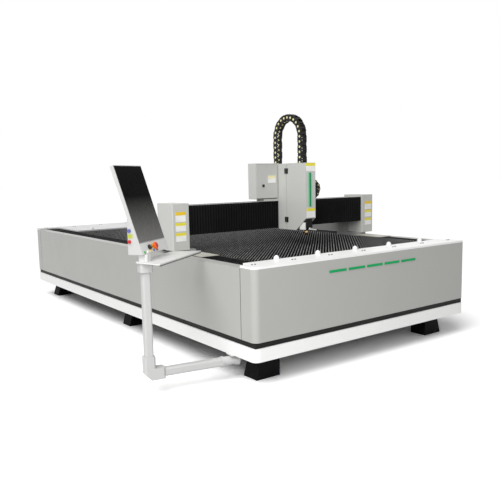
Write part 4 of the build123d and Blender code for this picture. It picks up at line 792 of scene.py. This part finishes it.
# Small fittings of the gantry and the bed
HINGE_LEVELS, HINGE_THICK, HINGE_HALF, HINGE_SOFT = (1010, 1420), 4, 22, 1
HINGE_REACH, HINGE_GAP = 21, 5.5
AXIS_SEAM_BOTTOM, AXIS_SEAM_DROP, AXIS_SEAM_GAP, AXIS_SEAM_WIDTH = 928, 2, 0.4, 2
AXIS_SEAM_PROUD, AXIS_SEAM_SUNK = 0.4, 0.2
# Edges, levels and insets of a black strip under the rear box's flap, which is painted shadow.
FLAP_SHADE_EDGES, FLAP_SHADE_LEVELS = (-290, -76), (1186.5, 1192.5)
FLAP_SHADE_FRONT_INSET, FLAP_SHADE_BACK_INSET = 1.5, 4.5
WIPER_EDGES, WIPER_ENDS, WIPER_LEVELS = (903, 907), (-888, -590), (791, 819)
PANEL_SEAM_PROUD, PANEL_SEAM_SUNK, PANEL_SEAM_HALF = 0.04, 0.3, 2.5
STUD_X, STUD_INSET, STUD_RADIUS, STUD_HEIGHT, STUD_SOFT, STUD_SIDES = 718, 30, 20, 26, 12, 28
BOLT_PAIRS, BOLT_PITCH, BOLT_APART, BOLT_INSET = 7, 347, 26, 113
BOLT_RADIUS, BOLT_HEIGHT, BOLT_SOFT, BOLT_SIDES = 7, 5, 1, 6


def make_hinge_leaves():
    """The hinge leaves on the side of the cutting axis's door."""
    bm = bmesh.new()
    for level in HINGE_LEVELS:
        low = (AXIS_LOW.x - HINGE_THICK, AXIS_DOOR_BACK - HINGE_REACH, level - HINGE_HALF)
        high = (AXIS_LOW.x, AXIS_DOOR_BACK - HINGE_GAP, level + HINGE_HALF)
        add_block(bm, low, high, HINGE_SOFT, bed_place())
    piece("hinge_leaves", bm, ("plastic",), "axis_door")


def make_axis_seam():
    """The dark joint behind the cutting axis's door."""
    front = AXIS_DOOR_BACK + AXIS_SEAM_GAP
    low = (AXIS_LOW.x - AXIS_SEAM_PROUD, front, AXIS_SEAM_BOTTOM)
    high = (AXIS_LOW.x + AXIS_SEAM_SUNK, front + AXIS_SEAM_WIDTH, AXIS_HIGH.z - AXIS_SEAM_DROP)
    bm = bmesh.new()
    add_block(bm, low, high, 0, bed_place())
    piece("axis_seam", bm, ("leg",), "carriage")


def make_flap_shade_strip():
    """A black strip under the rear box's flap, as painted shadow for the shadow gap beneath the flap."""
    low = (FLAP_SHADE_EDGES[0], FLAP_FRONT + FLAP_SHADE_FRONT_INSET, FLAP_SHADE_LEVELS[0])
    high = (FLAP_SHADE_EDGES[1], FLAP_FRONT + FLAP_SHADE_BACK_INSET, FLAP_SHADE_LEVELS[1])
    bm = bmesh.new()
    add_block(bm, low, high, 0, bed_place())
    # The black of this strip is painted shadow.
    piece("flap_shade_strip", bm, ("seal_and_shade",), "carriage")


def make_wipers():
    """Black brushes under the inner edges of the gantry's feet, behind the beam."""
    bm = bmesh.new()
    for side in (-1, 1):
        left, right = sorted(side * edge for edge in WIPER_EDGES)
        low = (left, WIPER_ENDS[0], WIPER_LEVELS[0])
        high = (right, WIPER_ENDS[1], WIPER_LEVELS[1])
        add_block(bm, low, high, 0, bed_place())
    piece("saddle_wipers", bm, ("seal_and_shade",), "gantry")


def make_panel_seams():
    """The dark joints between the side panels and the end panels that wrap round the corners."""
    bm = bmesh.new()
    for side in (-1, 1):
        outer, inner = SIDE_HIGH.x + PANEL_SEAM_PROUD, SIDE_HIGH.x - PANEL_SEAM_SUNK
        left, right = sorted((side * outer, side * inner))
        for y in (SIDE_LOW.y, SIDE_HIGH.y):
            low = (left, y - PANEL_SEAM_HALF, SIDE_LOW.z)
            high = (right, y + PANEL_SEAM_HALF, SIDE_HIGH.z)
            add_block(bm, low, high, 0, bed_place())
    piece("panel_seams", bm, ("seal_and_shade",), "bed")


def make_back_studs():
    """White studs on the back cover, like those of the front flange."""
    bm = bmesh.new()
    for x in (-STUD_X, 0, STUD_X):
        place = bed_place(x, BACK_LOW.y + STUD_INSET, BACK_HIGH.z)
        add_disc(bm, STUD_RADIUS, 0, STUD_HEIGHT, STUD_SOFT, place, 0, STUD_SIDES)
    piece("back_studs", bm, ("stud",), "bed")


def make_back_bolts():
    """Bolt pairs on the back cover, like those of the front flange."""
    bm = bmesh.new()
    for i in range(BOLT_PAIRS):
        for side in (-1, 1):
            x = (i - BOLT_PAIRS // 2) * BOLT_PITCH + side * BOLT_APART / 2
            place = bed_place(x, BACK_HIGH.y - BOLT_INSET, BACK_HIGH.z)
            add_disc(bm, BOLT_RADIUS, 0, BOLT_HEIGHT, BOLT_SOFT, place, 0, BOLT_SIDES)
    piece("back_bolts", bm, ("bolt",), "bed")


# Cutting head: depths are taken from the head's front, and widths from its left and right faces
HEAD_FOOT_INSET, HEAD_FOOT_DEPTH, HEAD_FOOT_LEVELS, HEAD_FOOT_SOFT = 2, 24, (946, 986), 2
SENSOR_PROUD, SENSOR_SUNK, SENSOR_DEPTHS, SENSOR_LEVELS, SENSOR_SOFT = 14, 6, (10, 70), (930, 993), 6
HEAD_COLLAR_LEVEL, HEAD_COLLAR_SIDES = 985, 40
WIDE_COLLAR_RADIUS, WIDE_COLLAR_SPAN, WIDE_COLLAR_SOFT = 25, (-8, 0.5), 1.5
NARROW_COLLAR_RADIUS, NARROW_COLLAR_SPAN, NARROW_COLLAR_SOFT = 17, (-16, -8), 1


def make_head_foot():
    """The black block at the head's lower front."""
    low = (HEAD_LOW.x + HEAD_FOOT_INSET, HEAD_LOW.y, HEAD_FOOT_LEVELS[0])
    high = (HEAD_HIGH.x - HEAD_FOOT_INSET, HEAD_LOW.y + HEAD_FOOT_DEPTH, HEAD_FOOT_LEVELS[1])
    bm = bmesh.new()
    add_block(bm, low, high, HEAD_FOOT_SOFT, bed_place())
    piece("head_foot", bm, ("head",), "head")


def make_height_sensor():
    """The pale block on the head's left, near the nozzle."""
    low = (HEAD_LOW.x - SENSOR_PROUD, HEAD_LOW.y + SENSOR_DEPTHS[0], SENSOR_LEVELS[0])
    high = (HEAD_LOW.x + SENSOR_SUNK, HEAD_LOW.y + SENSOR_DEPTHS[1], SENSOR_LEVELS[1])
    bm = bmesh.new()
    add_block(bm, low, high, SENSOR_SOFT, bed_place())
    piece("height_sensor", bm, ("pale",), "head")


def make_head_collars():
    """Two round collars below the head's body."""
    x, y = (HEAD_LOW.x + HEAD_HIGH.x) / 2, (HEAD_LOW.y + HEAD_HIGH.y) / 2
    place = bed_place(x, y, HEAD_COLLAR_LEVEL)
    bm = bmesh.new()
    add_disc(bm, WIDE_COLLAR_RADIUS, *WIDE_COLLAR_SPAN, WIDE_COLLAR_SOFT, place, 0, HEAD_COLLAR_SIDES)
    add_disc(bm, NARROW_COLLAR_RADIUS, *NARROW_COLLAR_SPAN, NARROW_COLLAR_SOFT, place, 1, HEAD_COLLAR_SIDES)
    piece("head_collars", bm, ("silver", "pale"), "head")


def add_head_plate(bm, proud, sunk, inset, levels, soft, material):
    """A plate on the head's left face, set in from its front and back edges."""
    low = (HEAD_LOW.x - proud, HEAD_LOW.y + inset, levels[0])
    high = (HEAD_LOW.x + sunk, HEAD_HIGH.y - inset, levels[1])
    add_block(bm, low, high, soft, bed_place(), material)


def make_lens_drawer():
    """The lens drawer with its grip, and a dark joint above it."""
    bm = bmesh.new()
    add_head_plate(bm, proud=1.2, sunk=0.4, inset=14, levels=(1000, 1036), soft=1, material=0)
    add_head_plate(bm, proud=1.6, sunk=-0.6, inset=22, levels=(1010, 1026), soft=0.4, material=1)
    add_head_plate(bm, proud=1.0, sunk=0.4, inset=6, levels=(1048, 1054), soft=0, material=1)
    piece("lens_drawer", bm, ("silver", "plastic"), "head")


# Console, in its own frame: X along the screen, -Y towards the operator, from the column's middle
CONSOLE_YAW = math.radians(36)
COLUMN_X = (COLUMN_LOW.x + COLUMN_HIGH.x) / 2
COLUMN_Y = (COLUMN_LOW.y + COLUMN_HIGH.y) / 2
STRIP_FROM, STRIP_TO = (-22, 912), (1.9, 981.4)
STRIP_LENGTH = math.dist(STRIP_FROM, STRIP_TO)
UPPER_ROW_SHARE, LOWER_ROW_SHARE = 0.55, 0.2
KNOB_X, KNOB_RADIUS, KNOB_HEIGHT = 46, 15, 18
MARK_HALF, MARK_LENGTH, MARK_PROUD, MARK_SUNK = 1.6, 14, 0.8, 0.2
STOP_X, STOP_STEM_RADIUS, STOP_HEIGHT = 107, 11, 26
STOP_FACE_RADIUS, STOP_FACE_THICK, STOP_FACE_SOFT, STOP_FACE_SIDES = 14, 0.8, 0.4, 28
STOP_COLLAR_RADIUS, STOP_COLLAR_HEIGHT = 18.5, 3
BUTTON_COUNT, BUTTON_FIRST, BUTTON_PITCH, BUTTON_HALF = 5, -30, 42, 7
STRIP_FACE_EDGES, STRIP_FACE_INSET, STRIP_FACE_THICK, HOLE_GAP = (-58, 296), 1.2, 0.6, 0.6
SIDE_PLATE_X, SIDE_PLATE_ENDS, SIDE_PLATE_LEVELS = -61, (45, 80), (1015, 1041)
# Edges, ends, levels and softness of a dark strip under the tray's front edge, which is painted shade.
TRAY_SHADE_EDGES, TRAY_SHADE_ENDS, TRAY_SHADE_LEVELS, TRAY_SHADE_SOFT = (-98, 557), (-152, -149), (850, 858.2), 0.5


def console_place(x=0, y=0, z=0):
    """A place in the console's frame."""
    yaw = Matrix.Rotation(CONSOLE_YAW, 4, "Z")
    return bed_place(COLUMN_X, COLUMN_Y) @ yaw @ Matrix.Translation(Vector((x, y, z)) * MM)


def strip_place(x, share):
    """A place on the control strip, with local Z out of it and local Y up along it."""
    (y0, z0), (y1, z1) = STRIP_FROM, STRIP_TO
    lean = math.atan2(z1 - z0, y1 - y0)
    turn = Matrix.Rotation(lean, 4, "X")
    return console_place(x, y0 + share * (y1 - y0), z0 + share * (z1 - z0)) @ turn


def make_stop_face():
    """The red face on the stop button's head."""
    place = strip_place(STOP_X, UPPER_ROW_SHARE)
    top = STOP_HEIGHT + STOP_FACE_THICK
    bm = bmesh.new()
    add_disc(bm, STOP_FACE_RADIUS, STOP_HEIGHT, top, STOP_FACE_SOFT, place, 0, STOP_FACE_SIDES)
    piece("stop_centre", bm, ("red",), "stop_button")


def make_stop_collar():
    """The amber ring round the stop button's stem."""
    hole = round_ring(STOP_STEM_RADIUS + HOLE_GAP)
    place = strip_place(STOP_X, UPPER_ROW_SHARE)
    bm = bmesh.new()
    add_pierced(bm, round_ring(STOP_COLLAR_RADIUS), [hole], STRIP_FACE_THICK, STOP_COLLAR_HEIGHT, place)
    piece("stop_collar", bm, ("amber",), "console")


def make_knob_mark():
    """The white mark on the knob's top."""
    low = (-MARK_HALF, 0, KNOB_HEIGHT - MARK_SUNK)
    high = (MARK_HALF, MARK_LENGTH, KNOB_HEIGHT + MARK_PROUD)
    bm = bmesh.new()
    add_block(bm, low, high, 0, strip_place(KNOB_X, UPPER_ROW_SHARE))
    piece("knob_mark", bm, ("pale",), "knob")


def make_side_plate():
    """The bare plate between the two buttons on the console's left wall."""
    low = (SIDE_PLATE_X - PLATE_PROUD, SIDE_PLATE_ENDS[0], SIDE_PLATE_LEVELS[0])
    high = (SIDE_PLATE_X + PLATE_SUNK, SIDE_PLATE_ENDS[1], SIDE_PLATE_LEVELS[1])
    bm = bmesh.new()
    add_block(bm, low, high, 0, console_place())
    piece("side_plate", bm, ("zest",), "console")


def make_strip_painted_light():
    """A pale face on the control strip, with holes for the controls; it is painted paler than the console
    as painted light on the strip, which the lamps light less.
    """
    upper, lower = UPPER_ROW_SHARE * STRIP_LENGTH, LOWER_ROW_SHARE * STRIP_LENGTH
    holes = [
        round_ring(KNOB_RADIUS + HOLE_GAP, KNOB_X, upper),
        round_ring(STOP_STEM_RADIUS + HOLE_GAP, STOP_X, upper),
    ]
    for i in range(BUTTON_COUNT):
        holes.append(square_ring(BUTTON_HALF + HOLE_GAP, BUTTON_FIRST + i * BUTTON_PITCH, lower))
    left, right = STRIP_FACE_EDGES
    bottom, top = STRIP_FACE_INSET, STRIP_LENGTH - STRIP_FACE_INSET
    outline = [(left, bottom), (right, bottom), (right, top), (left, top)]
    bm = bmesh.new()
    add_pierced(bm, outline, holes, 0, STRIP_FACE_THICK, strip_place(0, 0))
    # The paler white of this face is painted light.
    piece("strip_painted_light", bm, ("tray",), "console")


def make_tray_edge_shade():
    """A dark strip under the tray's front edge, as painted shade for the shaded thickness of the tray's
    edge.
    """
    low = (TRAY_SHADE_EDGES[0], TRAY_SHADE_ENDS[0], TRAY_SHADE_LEVELS[0])
    high = (TRAY_SHADE_EDGES[1], TRAY_SHADE_ENDS[1], TRAY_SHADE_LEVELS[1])
    bm = bmesh.new()
    add_block(bm, low, high, TRAY_SHADE_SOFT, console_place())
    # The dark grey of this strip is painted shade.
    piece("tray_edge_shade", bm, ("dark",), "console")


# Stage: the floor's half width in metres, and how white it is to the eye and to other light
FLOOR_HALF = 90
FLOOR_SEEN, FLOOR_PALER = 1.24, 1.01
FLOOR_DULL, FLOOR_DULL_PALER = 0.60, 0.62

# Level of the light from the white surroundings
WORLD_LEVEL = 0.28

# Lamps: a far key, and a panel as fill with its width in metres
KEY_TOWARD, KEY_STRENGTH, KEY_ANGLE = (-0.52, -0.17, 0.84), 2.15, 42
FILL_AT, FILL_AIM = (-3100, -4400, 2300), (-900, -1900, 600)
FILL_POWER, FILL_WIDTH = 90, 3


def seen_by_eye(tree):
    """One for camera, mirror and glass rays, and zero for the light that the stage gives back."""
    path = tree.nodes.new("ShaderNodeLightPath")
    first = tree.nodes.new("ShaderNodeMath")
    first.operation = "MAXIMUM"
    tree.links.new(path.outputs["Is Camera Ray"], first.inputs[0])
    tree.links.new(path.outputs["Is Transmission Ray"], first.inputs[1])
    second = tree.nodes.new("ShaderNodeMath")
    second.operation = "MAXIMUM"
    tree.links.new(first.outputs[0], second.inputs[0])
    tree.links.new(path.outputs["Is Glossy Ray"], second.inputs[1])
    return second.outputs[0]


def floor_paint():
    """A matt floor that looks white and gives back less light than it seems to."""
    n = Nodes("floor_white")
    matt = n.add("ShaderNodeBsdfDiffuse")
    patches = n.noise(scale=0.6, detail=2.0)
    dull = n.mix(patches, grey(FLOOR_DULL), grey(FLOOR_DULL_PALER))
    bright = n.mix(patches, grey(FLOOR_SEEN), grey(FLOOR_SEEN * FLOOR_PALER))
    n.join(n.mix(seen_by_eye(n.tree), dull, bright), matt.inputs["Color"])
    n.join(matt.outputs[0], n.tree.nodes["Material Output"].inputs["Surface"])
    return n.material


def make_floor():
    """A wide flat floor, which isn't part of the object."""
    bm = bmesh.new()
    bmesh.ops.create_grid(bm, x_segments=1, y_segments=1, size=FLOOR_HALF)
    mesh = bpy.data.meshes.new("floor")
    bm.to_mesh(mesh)
    bm.free()
    mesh.materials.append(floor_paint())
    floor = bpy.data.objects.new("floor", mesh)
    bpy.context.scene.collection.objects.link(floor)


def make_world():
    """White surroundings that light the object less than they seem to."""
    world = bpy.data.worlds.new("studio")
    bpy.context.scene.world = world
    world.use_nodes = True
    tree = world.node_tree
    back = tree.nodes["Background"]
    back.inputs["Color"].default_value = (1, 1, 1, 1)
    level = tree.nodes.new("ShaderNodeMapRange")
    level.inputs["To Min"].default_value = WORLD_LEVEL
    level.inputs["To Max"].default_value = 1.0
    tree.links.new(seen_by_eye(tree), level.inputs["Value"])
    tree.links.new(level.outputs["Result"], back.inputs["Strength"])


def aim_lamp(name, data, toward, place=Matrix()):
    """A lamp at a place, with its light coming from the side that toward points to."""
    obj = bpy.data.objects.new(name, data)
    bpy.context.scene.collection.objects.link(obj)
    obj.matrix_world = place @ Vector(toward).to_track_quat("Z", "Y").to_matrix().to_4x4()
    return obj


def make_key():
    """A broad soft lamp far away, so that the floor is lit alike to its far edge."""
    data = bpy.data.lights.new("key", "SUN")
    data.energy = KEY_STRENGTH
    data.angle = math.radians(KEY_ANGLE)
    aim_lamp("key", data, KEY_TOWARD)


def make_fill():
    """A broad panel lamp that lights the near end of the front more than its far end."""
    data = bpy.data.lights.new("fill", "AREA")
    data.shape = "DISK"
    data.size = FILL_WIDTH
    data.energy = FILL_POWER
    lamp = aim_lamp("fill", data, at(*FILL_AT) - at(*FILL_AIM), bed_place(*FILL_AT))
    lamp.visible_camera = False


# The whole scene
make_camera()
make_floor()
make_world()
make_key()
make_fill()
make_slats()
make_beam_bellows()
make_trough_bellows()
make_arch_chain()
make_beam_chain()
make_cover_plates()
make_axis_plates()
make_axis_stripe()
make_box_plate()
make_hinge_leaves()
make_axis_seam()
make_flap_shade_strip()
make_wipers()
make_panel_seams()
make_back_studs()
make_back_bolts()
make_head_foot()
make_height_sensor()
make_head_collars()
make_lens_drawer()
make_stop_face()
make_stop_collar()
make_knob_mark()
make_side_plate()
make_strip_painted_light()
make_tray_edge_shade()

bpy.context.scene.view_settings.view_transform = "Standard"
